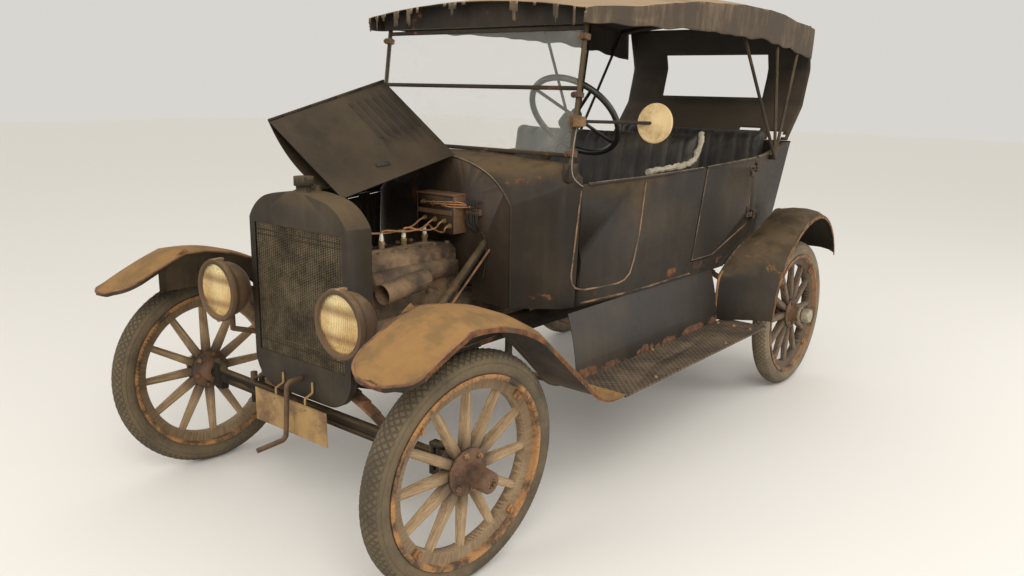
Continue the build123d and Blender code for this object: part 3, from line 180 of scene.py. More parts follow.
Point = tuple[float, float, float]
CREASE_DEGREES = 35.0
WELD = 2e-5


def rgb(red: float, green: float, blue: float) -> Colour:
    """An opaque colour from three linear values."""
    return (red, green, blue, 1.0)


# Shader maths

class Value:
    """A number socket of a material whose operators add Math nodes."""

    def __init__(self, graph: "Graph", socket: bpy.types.NodeSocket) -> None:
        """Wraps one output socket of a graph."""
        self.graph = graph
        self.socket = socket

    def _math(self, operation: str, *values: "Value | float") -> "Value":
        """Adds a Math node.

        Args:
            operation: The Math node's operation.
            values: Its inputs in order.

        Returns:
            The node's result.
        """
        inputs = {index: value for index, value in enumerate(values)}
        node = self.graph.add("ShaderNodeMath", {"operation": operation}, inputs)
        return Value(self.graph, node.outputs[0])

    def __add__(self, other: "Value | float") -> "Value":
        """self + other"""
        return self._math("ADD", self, other)

    __radd__ = __add__

    def __sub__(self, other: "Value | float") -> "Value":
        """self - other"""
        return self._math("SUBTRACT", self, other)

    def __rsub__(self, other: "Value | float") -> "Value":
        """other - self"""
        return self._math("SUBTRACT", other, self)

    def __mul__(self, other: "Value | float") -> "Value":
        """self * other"""
        return self._math("MULTIPLY", self, other)

    __rmul__ = __mul__

    def __truediv__(self, other: "Value | float") -> "Value":
        """self / other"""
        return self._math("DIVIDE", self, other)

    def maximum(self, other: "Value | float") -> "Value":
        """The larger of the two."""
        return self._math("MAXIMUM", self, other)

    def minimum(self, other: "Value | float") -> "Value":
        """The smaller of the two."""
        return self._math("MINIMUM", self, other)

    def absolute(self) -> "Value":
        """The value without its sign."""
        return self._math("ABSOLUTE", self)

    def root(self) -> "Value":
        """The square root."""
        return self._math("SQRT", self)

    def fraction(self) -> "Value":
        """What is left above the whole number."""
        return self._math("FRACT", self)

    def sine(self) -> "Value":
        """The sine of an angle in radians."""
        return self._math("SINE", self)

    def angle_to(self, other: "Value") -> "Value":
        """The angle whose tangent is self over other, in radians."""
        return self._math("ARCTAN2", self, other)

    def step(self, low: float, high: float) -> "Value":
        """A smooth step: 0 below low, 1 above high; high may be the lower of the two.

        Args:
            low: Where the step starts.
            high: Where it ends; it may be the lower of the two.

        Returns:
            The step, from 0 to 1.
        """
        settings = {"interpolation_type": "SMOOTHSTEP", "clamp": True}
        inputs = {"Value": self, "From Min": low, "From Max": high}
        node = self.graph.add("ShaderNodeMapRange", settings, inputs)
        return Value(self.graph, node.outputs["Result"])

    def band(self, centre: float, half_width: float) -> "Value":
        """1 at centre, falling smoothly to 0 at half_width away from it."""
        return (self - centre).absolute().step(half_width, 0.0)


class Graph:
    """A material's node tree, with the few nodes that the finishes share."""

    def __init__(self, name: str) -> None:
        """Makes an empty material of that name with one principled shader.

        Args:
            name: The material's name.
        """
        self.material = bpy.data.materials.new(name)
        self.material.use_nodes = True
        self.tree = self.material.node_tree
        self.tree.nodes.clear()
        output = self.tree.nodes.new("ShaderNodeOutputMaterial")
        self.shader = self.tree.nodes.new("ShaderNodeBsdfPrincipled")
        self.tree.links.new(self.shader.outputs[0], output.inputs["Surface"])
        coordinates = self.add("ShaderNodeTexCoord", {}, {})
        self.place = coordinates.outputs["Object"]
        self.normal = coordinates.outputs["Normal"]
        self.uv = coordinates.outputs["UV"]

    def add(self, kind: str, settings: dict[str, object], inputs: dict[object, object]) -> bpy.types.Node:
        """Adds a node.

        Args:
            kind: The node's type.
            settings: Its properties, set first.
            inputs: Values or links of its sockets, by name or number.

        Returns:
            The new node.
        """
        node = self.tree.nodes.new(kind)
        for key, value in settings.items():
            setattr(node, key, value)
        for key, value in inputs.items():
            self.feed(node.inputs[key], value)
        return node

    def feed(self, socket: bpy.types.NodeSocket, value: object) -> None:
        """Sets a socket to a number, a colour or a link.

        Args:
            socket: The input to set.
            value: A number, a colour, a Value or another socket.
        """
        if isinstance(value, Value):
            self.tree.links.new(value.socket, socket)
        elif isinstance(value, bpy.types.NodeSocket):
            self.tree.links.new(value, socket)
        else:
            socket.default_value = value

    def axis(self, name: str) -> Value:
        """One of the X, Y and Z of the place on the piece, in metres."""
        return self.part_of(self.place, name)

    def part_of(self, vector: bpy.types.NodeSocket, name: str) -> Value:
        """One component of a vector."""
        node = self.add("ShaderNodeSeparateXYZ", {}, {"Vector": vector})
        return Value(self, node.outputs[name])

    def vector(self, x: Value | float, y: Value | float, z: Value | float) -> bpy.types.NodeSocket:
        """A vector from three values."""
        return self.add("ShaderNodeCombineXYZ", {}, {"X": x, "Y": y, "Z": z}).outputs["Vector"]

    def stretched(self, scale: Point) -> bpy.types.NodeSocket:
        """The place on the piece, multiplied axis by axis."""
        settings = {"operation": "MULTIPLY"}
        return self.add("ShaderNodeVectorMath", settings, {0: self.place, 1: scale}).outputs["Vector"]

    def dot(self, vector: bpy.types.NodeSocket, other: Point | bpy.types.NodeSocket) -> Value:
        """The dot product of a vector with another."""
        node = self.add("ShaderNodeVectorMath", {"operation": "DOT_PRODUCT"}, {0: vector, 1: other})
        return Value(self, node.outputs["Value"])

    def noise(self, scale: float, detail: float = 4.0, rough: float = 0.55,
              vector: bpy.types.NodeSocket | None = None) -> Value:
        """Cloudy noise from 0 to 1.

        Args:
            scale: Features per metre.
            detail: Octaves.
            rough: Strength of the finer octaves.
            vector: Where it is read; the place on the piece if left out.

        Returns:
            The noise.
        """
        inputs = {"Vector": vector or self.place, "Scale": scale, "Detail": detail, "Roughness": rough}
        node = self.add("ShaderNodeTexNoise", {}, inputs)
        return Value(self, node.outputs["Fac"])

    def cells(self, scale: float, vector: bpy.types.NodeSocket | None = None) -> Value:
        """Distance to the nearest of many scattered points.

        Args:
            scale: How many points there are to a metre.
            vector: Where to read them; the object's own coordinates if none.

        Returns:
            The distance, as a value.
        """
        inputs = {"Vector": vector or self.place, "Scale": scale}
        node = self.add("ShaderNodeTexVoronoi", {}, inputs)
        return Value(self, node.outputs["Distance"])

    def mix(self, factor: Value | float, first: object, second: object) -> bpy.types.NodeSocket:
        """A colour between two.

        Args:
            factor: 0 for the first colour, 1 for the second.
            first: A colour or a socket.
            second: A colour or a socket.

        Returns:
            The mixed colour's socket.
        """
        inputs = {0: factor, 6: first, 7: second}
        node = self.add("ShaderNodeMix", {"data_type": "RGBA", "clamp_factor": True}, inputs)
        return node.outputs[2]

    def bump(self, height: Value, depth: float, strength: float = 1.0) -> bpy.types.NodeSocket:
        """A normal from a height of 0 to 1 that stands for depth metres."""
        node = self.add("ShaderNodeBump", {}, {"Strength": strength, "Distance": depth, "Height": height})
        return node.outputs["Normal"]

    def finish(self, colour: object, rough: Value | float, metallic: Value | float = 0.0,
               normal: bpy.types.NodeSocket | None = None, **sockets: float) -> bpy.types.Material:
        """Feeds the shader.

        Args:
            colour: Base colour.
            rough: Roughness.
            metallic: Metallic.
            normal: A bumped normal, if any.
            sockets: Fixed values of other sockets, with _ for a space in their names.

        Returns:
            The material.
        """
        self.feed(self.shader.inputs["Base Color"], colour)
        self.feed(self.shader.inputs["Roughness"], rough)
        self.feed(self.shader.inputs["Metallic"], metallic)
        if normal is not None:
            self.feed(self.shader.inputs["Normal"], normal)
        for name, value in sockets.items():
            self.shader.inputs[name.replace("_", " ")].default_value = value
        return self.material


# Finishes

@dataclass(frozen=True)
class RustLine:
    """A line along which rust gathers: the plane where one axis has a given value."""

    axis: str
    centre: float
    half_width: float
    mirrored: bool = False
    strength: float = 0.12


@dataclass(frozen=True)
class WornPaint:
    """Old enamel: dull black with brown dust on what faces up, and rust in patches and along edges."""

    name: str
    base: Colour = rgb(0.017, 0.012, 0.008)
    faded: Colour = rgb(0.046, 0.033, 0.019)
    dust: Colour = rgb(0.19, 0.125, 0.062)
    stain: Colour = rgb(0.105, 0.072, 0.034)
    rust: Colour = rgb(0.20, 0.083, 0.030)
    dark_rust: Colour = rgb(0.070, 0.032, 0.016)
    dust_share: float = 0.55
    rust_level: float = 0.66
    gloss: float = 0.42
    specular: float = 0.26
    lines: tuple[RustLine, ...] = ()

    def rust_mask(self, graph: Graph) -> Value:
        """Where rust has broken through, from 0 to 1.

        Args:
            graph: The material's graph.

        Returns:
            The mask.
        """
        field_of_rust = graph.noise(5.5, 9.0, 0.66)
        for line in self.lines:
            place = graph.axis(line.axis)
            place = place.absolute() if line.mirrored else place
            field_of_rust = field_of_rust + place.band(line.centre, line.half_width) * line.strength
        return field_of_rust.step(self.rust_level, self.rust_level + 0.05)

    def build(self) -> bpy.types.Material:
        """Builds the material.

        Returns:
            The finished material.
        """
        graph = Graph(self.name)
        upward = graph.part_of(graph.normal, "Z").step(0.15, 0.95)
        clouds = graph.noise(2.6, 5.0)
        grime = graph.noise(34.0, 6.0, 0.7)
        streaks = graph.noise(1.0, 5.0, 0.6, graph.stretched((26.0, 26.0, 2.2)))
        paint = graph.mix((clouds * 0.85 + streaks * 0.2).step(0.40, 0.72), self.base, self.faded)
        patches = graph.noise(8.0, 7.0, 0.62)
        dust_tone = graph.mix(patches.step(0.44, 0.62), self.dust, self.stain)
        dust = (upward * 0.75 + grime * 0.35 + clouds * 0.25 - 0.25).step(0.12, 0.95) * self.dust_share
        dusty = graph.mix(dust, paint, dust_tone)
        rust = self.rust_mask(graph)
        rust_tone = graph.mix(grime.step(0.35, 0.65), self.dark_rust, self.rust)
        colour = graph.mix(rust * 0.92, dusty, rust_tone)
        rough = (grime * 0.25 + self.gloss + dust * 0.5 + rust * 0.35).minimum(0.95)
        height = grime * 0.5 + rust * 0.5
        bump = graph.bump(height, 0.0009, 0.6)
        return graph.finish(colour, rough, 0.0, bump, Specular_IOR_Level=self.specular)


@dataclass(frozen=True)
class RustyMetal:
    """Bare iron or steel gone brown, with lighter orange bloom."""

    name: str
    dark: Colour = rgb(0.050, 0.030, 0.020)
    bloom: Colour = rgb(0.25, 0.105, 0.036)
    dust: Colour = rgb(0.19, 0.14, 0.085)
    bloom_level: float = 0.5
    shine: float = 0.25
    grain: float = 45.0

    def build(self) -> bpy.types.Material:
        """Builds the material.

        Returns:
            The finished material.
        """
        graph = Graph(self.name)
        patches = graph.noise(9.0, 8.0, 0.65)
        pits = graph.noise(self.grain * 3.0, 5.0, 0.7)
        upward = graph.part_of(graph.normal, "Z").step(0.3, 1.0)
        share = (patches + pits * 0.25 - 0.12).step(self.bloom_level - 0.14, self.bloom_level + 0.14)
        rusty = graph.mix(share, self.dark, self.bloom)
        colour = graph.mix(upward * 0.45 * graph.noise(5.0), rusty, self.dust)
        rough = pits * 0.3 + 0.6
        metallic = patches.step(self.bloom_level, self.bloom_level - 0.2) * self.shine
        return graph.finish(colour, rough, metallic, graph.bump(pits * 0.6 + patches * 0.4, 0.0012, 0.8))


@dataclass(frozen=True)
class Axle:
    """Where a wheel turns: its hub's centre and the direction of its axle."""

    centre: Point
    direction: Point

    def radius(self, graph: Graph) -> tuple[Value, Value, Value]:
        """Polar place on a wheel.

        Args:
            graph: The material's graph.

        Returns:
            Distance from the axle, distance along it, and the angle round it in radians.
        """
        offset = graph.add("ShaderNodeVectorMath", {"operation": "SUBTRACT"},
                           {0: graph.place, 1: self.centre}).outputs["Vector"]
        along_axis = Vector(self.direction).normalized()
        up = (Vector((0, 0, 1)) - along_axis * along_axis.z).normalized()
        side = along_axis.cross(up)
        along = graph.dot(offset, tuple(along_axis))
        high = graph.dot(offset, tuple(up))
        wide = graph.dot(offset, tuple(side))
        return (high * high + wide * wide).root(), along, high.angle_to(wide)


@dataclass(frozen=True)
class SpokedWheel:
    """Weathered wooden spokes and felloe between a rusty steel hub and rim."""

    name: str
    axle: Axle
    wood: Colour = rgb(0.20, 0.145, 0.088)
    grey_wood: Colour = rgb(0.42, 0.34, 0.235)
    rim_rust: Colour = rgb(0.30, 0.135, 0.050)
    hub_rust: Colour = rgb(0.14, 0.070, 0.035)
    dark: Colour = rgb(0.045, 0.028, 0.018)
    rim_radius: float = 0.2945
    flange_radius: float = 0.0765
    flange_half: float = 0.0155
    barrel_radius: float = 0.046

    def build(self) -> bpy.types.Material:
        """Builds the material.

        Returns:
            The finished material.
        """
        graph = Graph(self.name)
        radius, along, angle = self.axle.radius(graph)
        grain_place = graph.vector(radius * 3.0, angle * 26.0, along * 90.0)
        grain = graph.noise(3.0, 7.0, 0.62, grain_place)
        patches = graph.noise(14.0, 6.0, 0.6)
        pits = graph.noise(150.0, 4.0, 0.7)
        wood = graph.mix((grain * 0.75 + patches * 0.35).step(0.38, 0.72), self.wood, self.grey_wood)
        # Darker towards the hub over the spokes' inner half, and a little darker on the felloe.
        darker_at_hub_and_felloe = graph.mix(radius.step(0.15, 0.075) * 0.7 + radius.step(0.25, 0.27) * 0.35, wood, self.dark)
        rim = graph.mix((patches * 0.8 + pits * 0.3).step(0.42, 0.66), self.dark, self.rim_rust)
        hub = graph.mix((patches * 0.8 + pits * 0.3).step(0.40, 0.62), self.dark, self.hub_rust)
        steel_rim = radius.step(self.rim_radius, self.rim_radius + 0.001)
        flange = radius.step(self.flange_radius + 0.0015, self.flange_radius)
        outside = along.absolute().step(self.flange_half, self.flange_half + 0.001)
        steel_hub = (flange * outside).maximum(radius.step(self.barrel_radius + 0.001, self.barrel_radius))
        colour = graph.mix(steel_hub, graph.mix(steel_rim, darker_at_hub_and_felloe, rim), hub)
        height = grain * 0.6 + pits * 0.4
        return graph.finish(colour, pits * 0.25 + 0.62, 0.0, graph.bump(height, 0.0011, 0.7))


@dataclass(frozen=True)
class TyreRubber:
    """A dusty clincher tyre with ribs on its sides and, where worn less, a diamond tread whose low lines are painted
    darker, as painted shade.
    """

    name: str
    axle: Axle
    rubber: Colour = rgb(0.050, 0.044, 0.034)
    dust: Colour = rgb(0.175, 0.148, 0.105)
    diamonds: int = 96
    tread_depth: float = 0.004

    def build(self) -> bpy.types.Material:
        """Builds the material.

        Returns:
            The finished material.
        """
        graph = Graph(self.name)
        radius, along, angle = self.axle.radius(graph)
        turns = angle * (self.diamonds / (2 * math.pi))
        slant = along * 44.0
        first = ((turns + slant).fraction() - 0.5).absolute()
        second = ((turns - slant).fraction() - 0.5).absolute()
        grooves = first.minimum(second).step(0.10, 0.17)
        on_tread = radius.step(0.3585, 0.3625)
        ribs = (radius * 620.0).sine().step(0.55, 0.95) * radius.band(0.349, 0.010)
        clouds = graph.noise(6.0, 6.0, 0.6)
        fine = graph.noise(90.0, 4.0, 0.7)
        worn = (clouds * 0.8 + fine * 0.3).step(0.34, 0.72)
        colour = graph.mix(worn * 0.8, self.rubber, self.dust)
        # Painted shade: the tread's low lines keep the plain dark rubber colour, darker than the dusty faces.
        sunk = graph.mix((1.0 - grooves) * on_tread * 0.72, colour, self.rubber)
        height = grooves * on_tread + ribs * 0.6 + fine * 0.08
        return graph.finish(sunk, fine * 0.15 + 0.78, 0.0, graph.bump(height, self.tread_depth, 1.0))


@dataclass(frozen=True)
class TopCloth:
    """Rubbered top cloth: brown-black with pale wear, stains, creases and a fine weave; faces turned in towards the
    middle of the car are darker, as painted shade.
    """

    name: str
    dark: Colour = rgb(0.055, 0.038, 0.023)
    worn: Colour = rgb(0.36, 0.250, 0.140)
    # Painted shade: the darker colour of the faces that look in towards the middle of the car.
    inside: Colour = rgb(0.026, 0.020, 0.014)
    middle: Point = (0.0, 0.55, 1.30)

    def build(self) -> bpy.types.Material:
        """Builds the material.

        Returns:
            The finished material.
        """
        graph = Graph(self.name)
        clouds = graph.noise(3.2, 7.0, 0.6)
        streaks = graph.noise(1.0, 7.0, 0.65, graph.stretched((5.0, 22.0, 7.0)))
        weave_x = (graph.axis("X") * 2600.0).sine()
        weave_y = (graph.axis("Y") * 2600.0).sine()
        upward = graph.part_of(graph.normal, "Z").step(-0.1, 0.8)
        wear = (clouds * 0.55 + streaks * 0.5 + upward * 0.40).step(0.45, 1.02)
        colour = graph.mix(wear, self.dark, self.worn)
        # Painted shade: faces turned towards the middle of the car take the darker inside colour.
        outward = graph.add("ShaderNodeVectorMath", {"operation": "SUBTRACT"},
                            {0: graph.place, 1: self.middle}).outputs["Vector"]
        inner = graph.dot(outward, graph.normal).step(0.02, -0.10)
        colour = graph.mix(inner * 0.85, colour, self.inside)
        height = streaks * 0.7 + clouds * 0.25 + weave_x * weave_y * 0.03
        return graph.finish(colour, clouds * 0.15 + 0.78, 0.0, graph.bump(height, 0.005, 0.6))


@dataclass(frozen=True)
class OldLeather:
    """Cracked black upholstery with worn brown ridges."""

    name: str
    dark: Colour = rgb(0.020, 0.017, 0.014)
    worn: Colour = rgb(0.095, 0.072, 0.050)

    def build(self) -> bpy.types.Material:
        """Builds the material.

        Returns:
            The finished material.
        """
        graph = Graph(self.name)
        clouds = graph.noise(6.0, 6.0, 0.6)
        cracks = graph.cells(110.0).step(0.02, 0.28)
        creases = graph.noise(1.0, 5.0, 0.6, graph.stretched((30.0, 9.0, 9.0)))
        wear = (clouds * 0.7 + creases * 0.5).step(0.5, 0.85)
        colour = graph.mix(wear * 0.75, self.dark, self.worn)
        bump = graph.bump(cracks * 0.35 + creases, 0.0022, 0.6)
        return graph.finish(colour, clouds * 0.25 + 0.42, 0.0, bump)


@dataclass(frozen=True)
class LampLens:
    """Fluted lamp glass before a golden reflector: the reflector's light and dark bands and the flutes' glints are
    painted reflection and highlight in the colour, paler towards the top.
    """

    name: str
    # Painted reflection: pale is the reflector's bright glint, amber its glow, brown its dark bands, as seen through
    # the glass.
    pale: Colour = rgb(0.80, 0.66, 0.34)
    amber: Colour = rgb(0.46, 0.27, 0.080)
    brown: Colour = rgb(0.24, 0.115, 0.035)
    centre_z: float = 0.797

    def build(self) -> bpy.types.Material:
        """Builds the material.

        Returns:
            The finished material.
        """
        graph = Graph(self.name)
        flutes = (graph.axis("X") * 780.0).sine() * 0.5 + 0.5
        height = graph.axis("Z") - self.centre_z
        rings = (height * 260.0).sine() * 0.5 + 0.5
        clouds = graph.noise(14.0, 5.0)
        # Painted highlight: fluted stripes and a rise towards the top make the lens paler where the reflector shines.
        shade = (flutes * 0.35 + clouds * 0.6 + height * 2.6).step(0.15, 0.85)
        colour = graph.mix(shade, self.amber, self.pale)
        # Painted reflection: two dark brown bands of the reflector, one above and one below the middle.
        painted_reflection_bands = height.band(0.042, 0.028).maximum(height.band(-0.046, 0.024))
        colour = graph.mix(painted_reflection_bands * 0.75, colour, self.brown)
        bump = graph.bump(flutes * 0.8 + rings * 0.3, 0.002, 0.9)
        return graph.finish(colour, clouds * 0.2 + 0.18, 0.5, bump, Coat_Weight=0.6)


@dataclass(frozen=True)
class ClearGlass:
    """Thin old glass, nearly clear, with dust towards its edges."""

    name: str
    opacity: float = 0.10

    def build(self) -> bpy.types.Material:
        """Builds the material.

        Returns:
            The finished material.
        """
        graph = Graph(self.name)
        clouds = graph.noise(5.0, 6.0, 0.6)
        graph.feed(graph.shader.inputs["Alpha"], clouds.step(0.5, 0.9) * 0.12 + self.opacity)
        return graph.finish(rgb(0.55, 0.56, 0.50), 0.08, 0.0)


@dataclass(frozen=True)
class CoreFins:
    """A radiator core's dull and dusty metal."""

    name: str
    metal: Colour = rgb(0.17, 0.130, 0.072)
    dark: Colour = rgb(0.050, 0.037, 0.021)

    def build(self) -> bpy.types.Material:
        """Builds the material.

        Returns:
            The finished material.
        """
        graph = Graph(self.name)
        clouds = graph.noise(9.0, 6.0, 0.6)
        dirt = graph.noise(60.0, 5.0, 0.65)
        colour = graph.mix((clouds * 0.7 + dirt * 0.4).step(0.40, 0.72), self.dark, self.metal)
        return graph.finish(colour, 0.7, 0.2, graph.bump(dirt, 0.0006, 0.7))


@dataclass(frozen=True)
class TreadBoard:
    """A running board's pressed steel with small diamonds, worn to rust and dust."""

    name: str
    dark: Colour = rgb(0.045, 0.032, 0.022)
    dust: Colour = rgb(0.22, 0.155, 0.090)
    pitch: float = 0.028

    def build(self) -> bpy.types.Material:
        """Builds the material.

        Returns:
            The finished material.
        """
        graph = Graph(self.name)
        x = graph.axis("X") / self.pitch
        y = graph.axis("Y") / self.pitch
        first = ((x + y).fraction() - 0.5).absolute()
        second = ((x - y).fraction() - 0.5).absolute()
        ridges = first.minimum(second).step(0.12, 0.03)
        clouds = graph.noise(7.0, 7.0, 0.65)
        fine = graph.noise(80.0, 4.0)
        colour = graph.mix((clouds * 0.9 + ridges * 0.25 + fine * 0.2).step(0.45, 0.95), self.dark, self.dust)
        height = ridges + fine * 0.15
        return graph.finish(colour, 0.75, 0.1, graph.bump(height, 0.002, 0.9))


@dataclass(frozen=True)
class PlainFinish:
    """A small fitting's finish: one tone broken by dirt."""

    name: str
    tone: Colour
    dirt: Colour = rgb(0.05, 0.038, 0.026)
    rough: float = 0.4
    metallic: float = 0.0
    dirt_share: float = 0.6

    def build(self) -> bpy.types.Material:
        """Builds the material.

        Returns:
            The finished material.
        """
        graph = Graph(self.name)
        grime = graph.noise(60.0, 6.0, 0.65)
        clouds = graph.noise(11.0, 4.0)
        share = (grime * 0.6 + clouds * 0.5).step(0.45, 0.75) * self.dirt_share
        colour = graph.mix(share, self.tone, self.dirt)
        metal = (1.0 - share) * self.metallic
        return graph.finish(colour, share * 0.4 + self.rough, metal, graph.bump(grime, 0.0004, 0.5))


@dataclass(frozen=True)
class FloorBoards:
    """Old floor boards across the car, oiled and dusty."""

    name: str
    wood: Colour = rgb(0.10, 0.066, 0.040)
    pale: Colour = rgb(0.20, 0.145, 0.092)
    board: float = 0.14

    def build(self) -> bpy.types.Material:
        """Builds the material.

        Returns:
            The finished material.
        """
        graph = Graph(self.name)
        seams = ((graph.axis("Y") / self.board).fraction() - 0.5).absolute().step(0.47, 0.495)
        grain = graph.noise(1.0, 7.0, 0.6, graph.stretched((3.0, 60.0, 60.0)))
        colour = graph.mix(grain.step(0.35, 0.7), self.wood, self.pale)
        colour = graph.mix(seams * 0.85, colour, rgb(0.01, 0.008, 0.006))
        return graph.finish(colour, 0.8, 0.0, graph.bump(grain * 0.5 - seams, 0.002, 0.7))


# Modelling

class Former:
    """Builds one piece from operator-made forms and gives it to a body."""

    def __init__(self, name: str) -> None:
        """Starts an empty piece."""
        self.name = name
        self.mesh = bmesh.new()

    @staticmethod
    def towards(start: Point, end: Point) -> tuple[Matrix, float]:
        """Where a form along Z goes to lie from start to end.

        Args:
            start: One end of its axis.
            end: The other end.

        Returns:
            The matrix that carries it to the middle of the axis, and the axis's length.
        """
        a, b = Vector(start), Vector(end)
        turn = (b - a).to_track_quat("Z", "Y").to_matrix().to_4x4()
        return Matrix.Translation((a + b) / 2) @ turn, (b - a).length

    def rod(self, start: Point, end: Point, radius: float, tip: float | None = None, sides: int = 16) -> None:
        """A round bar, or a cone where tip gives another radius at its end.

        Args:
            start: The middle of one end.
            end: The middle of the other.
            radius: The bar's radius.
            tip: The radius at its end, where that differs.
            sides: How many flats it has round it.
        """
        matrix, length = self.towards(start, end)
        bmesh.ops.create_cone(self.mesh, cap_ends=True, segments=sides, radius1=radius,
                              radius2=radius if tip is None else tip, depth=length, matrix=matrix)

    def block(self, low: Point, high: Point, bevel: float = 0.0, base: Matrix | None = None) -> None:
        """A block between two corners of its own base, its edges rounded by bevel.

        Args:
            low: Its lowest corner.
            high: Its highest corner.
            bevel: How far its edges are rounded.
            base: The frame that the corners are given in.
        """
        size = Vector(high) - Vector(low)
        middle = (Vector(high) + Vector(low)) / 2
        matrix = (base or Matrix.Identity(4)) @ Matrix.Translation(middle) @ Matrix.Diagonal((*size, 1.0))
        made = bmesh.ops.create_cube(self.mesh, size=1.0, matrix=matrix)
        if bevel:
            edges = list({edge for vert in made["verts"] for edge in vert.link_edges})
            bmesh.ops.bevel(self.mesh, geom=edges, offset=bevel, segments=2, profile=0.5,
                            affect="EDGES", material=-1)

    def plate(self, corners: Sequence[Point], thickness: Point) -> None:
        """A flat plate with a few corners, given its thickness as a vector.

        Args:
            corners: The corners of one face, in order.
            thickness: From that face to the other.
        """
        face = self.mesh.faces.new([self.mesh.verts.new(corner) for corner in corners])
        made = bmesh.ops.extrude_face_region(self.mesh, geom=[face])
        moved = [item for item in made["geom"] if isinstance(item, bmesh.types.BMVert)]
        bmesh.ops.translate(self.mesh, verts=moved, vec=thickness)

    def ring(self, centre: Point, axis: Point, radius: float, section: Sequence[tuple[float, float]],
             steps: int = 64) -> None:
        """A section of (out, along) points spun once round an axis.

        Args:
            centre: A point on the axis.
            axis: The axis's direction.
            radius: From the axis to the section.
            section: The section's points, as (out, along).
            steps: How many steps go round.
        """
        direction = Vector(axis).normalized()
        across = direction.orthogonal().normalized()
        verts = [self.mesh.verts.new(Vector(centre) + across * (radius + out) + direction * along)
                 for out, along in section]
        edges = [self.mesh.edges.new((a, b)) for a, b in zip(verts, verts[1:] + verts[:1])]
        bmesh.ops.spin(self.mesh, geom=verts + edges, cent=centre, axis=direction, angle=2 * math.pi,
                       steps=steps, use_merge=True)

    def hoop(self, centre: Point, axis: Point, radius: float, wire: float, steps: int = 64,
             sides: int = 10) -> None:
        """A round wire bent into a ring.

        Args:
            centre: The ring's centre.
            axis: The direction across it.
            radius: The ring's radius.
            wire: The wire's radius.
            steps: How many steps go round the ring.
            sides: How many flats the wire has.
        """
        section = [(wire * math.cos(2 * math.pi * i / sides), wire * math.sin(2 * math.pi * i / sides))
                   for i in range(sides)]
        self.ring(centre, axis, radius, section, steps)

    def place(self, body: str, material: bpy.types.Material, slot: str | None = None,
              smooth: bool = True) -> bpy.types.Object:
        """Finishes the piece.

        Args:
            body: The body that it rides on.
            material: Its material.
            slot: The record's material slot, if any.
            smooth: Whether its faces shade smoothly, with sharp edges kept.

        Returns:
            The piece's object.
        """
        bmesh.ops.remove_doubles(self.mesh, verts=self.mesh.verts, dist=1e-6)
        bmesh.ops.recalc_face_normals(self.mesh, faces=self.mesh.faces)
        data = bpy.data.meshes.new(self.name)
        self.mesh.to_mesh(data)
        self.mesh.free()
        obj = bpy.data.objects.new(self.name, data)
        bpy.context.scene.collection.objects.link(obj)
        return dress(obj, body, material, slot, smooth)


def dress(obj: bpy.types.Object, body: str, material: bpy.types.Material, slot: str | None,
          smooth: bool = True) -> bpy.types.Object:
    """Gives a piece its material, shading, body and slot.

    Args:
        obj: The piece, in place.
        body: The body that it rides on.
        material: Its material.
        slot: The record's material slot, if any.
        smooth: Whether it shades smoothly.

    Returns:
        The same piece.
    """
    obj.data.materials.clear()
    obj.data.materials.append(material)
    if smooth:
        obj.data.shade_smooth()
        obj.data.set_sharp_from_angle(angle=math.radians(CREASE_DEGREES))
    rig.ride(obj, body)
    if slot:
        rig.slot(obj, slot)
    LOG.info("piece %s on %s", obj.name, body)
    return obj


def tubes(name: str, lines: Sequence[Sequence[Point]], radius: float, body: str, material: bpy.types.Material,
          slot: str | None = None, exact: bool = False) -> bpy.types.Object:
    """Wires, pipes or beads as one mesh.

    Args:
        name: The piece's name.
        lines: The control points of each, in metres.
        radius: Their radius.
        body: The body that they ride on.
        material: Their material.
        slot: The record's material slot, if any.
        exact: Whether they pass through every point, rather than curve smoothly past them.

    Returns:
        The piece's object.
    """
    curve = bpy.data.curves.new(name + "_line", "CURVE")
    curve.dimensions = "3D"
    curve.bevel_depth = radius
    curve.bevel_resolution = 2
    curve.resolution_u = 10
    curve.use_fill_caps = True
    for points in lines:
        spline = curve.splines.new("POLY" if exact else "NURBS")
        spline.points.add(len(points) - 1)
        for control, point in zip(spline.points, points):
            control.co = (*point, 1.0)
        if not exact:
            spline.order_u = min(3, len(points))
            spline.use_endpoint_u = True
    line = bpy.data.objects.new(name + "_line", curve)
    bpy.context.scene.collection.objects.link(line)
    bpy.context.view_layer.update()
    data = bpy.data.meshes.new_from_object(line.evaluated_get(bpy.context.evaluated_depsgraph_get()))
    bpy.data.objects.remove(line)
    obj = bpy.data.objects.new(name, data)
    bpy.context.scene.collection.objects.link(obj)
    return dress(obj, body, material, slot)


class Corner(Enum):
    """The car's four wheels."""

    FRONT_LEFT = "front_left"
    FRONT_RIGHT = "front_right"
    REAR_LEFT = "rear_left"
    REAR_RIGHT = "rear_right"

    @property
    def side(self) -> int:
        """The sign of X on the wheel's side."""
        return 1 if self.value.endswith("left") else -1


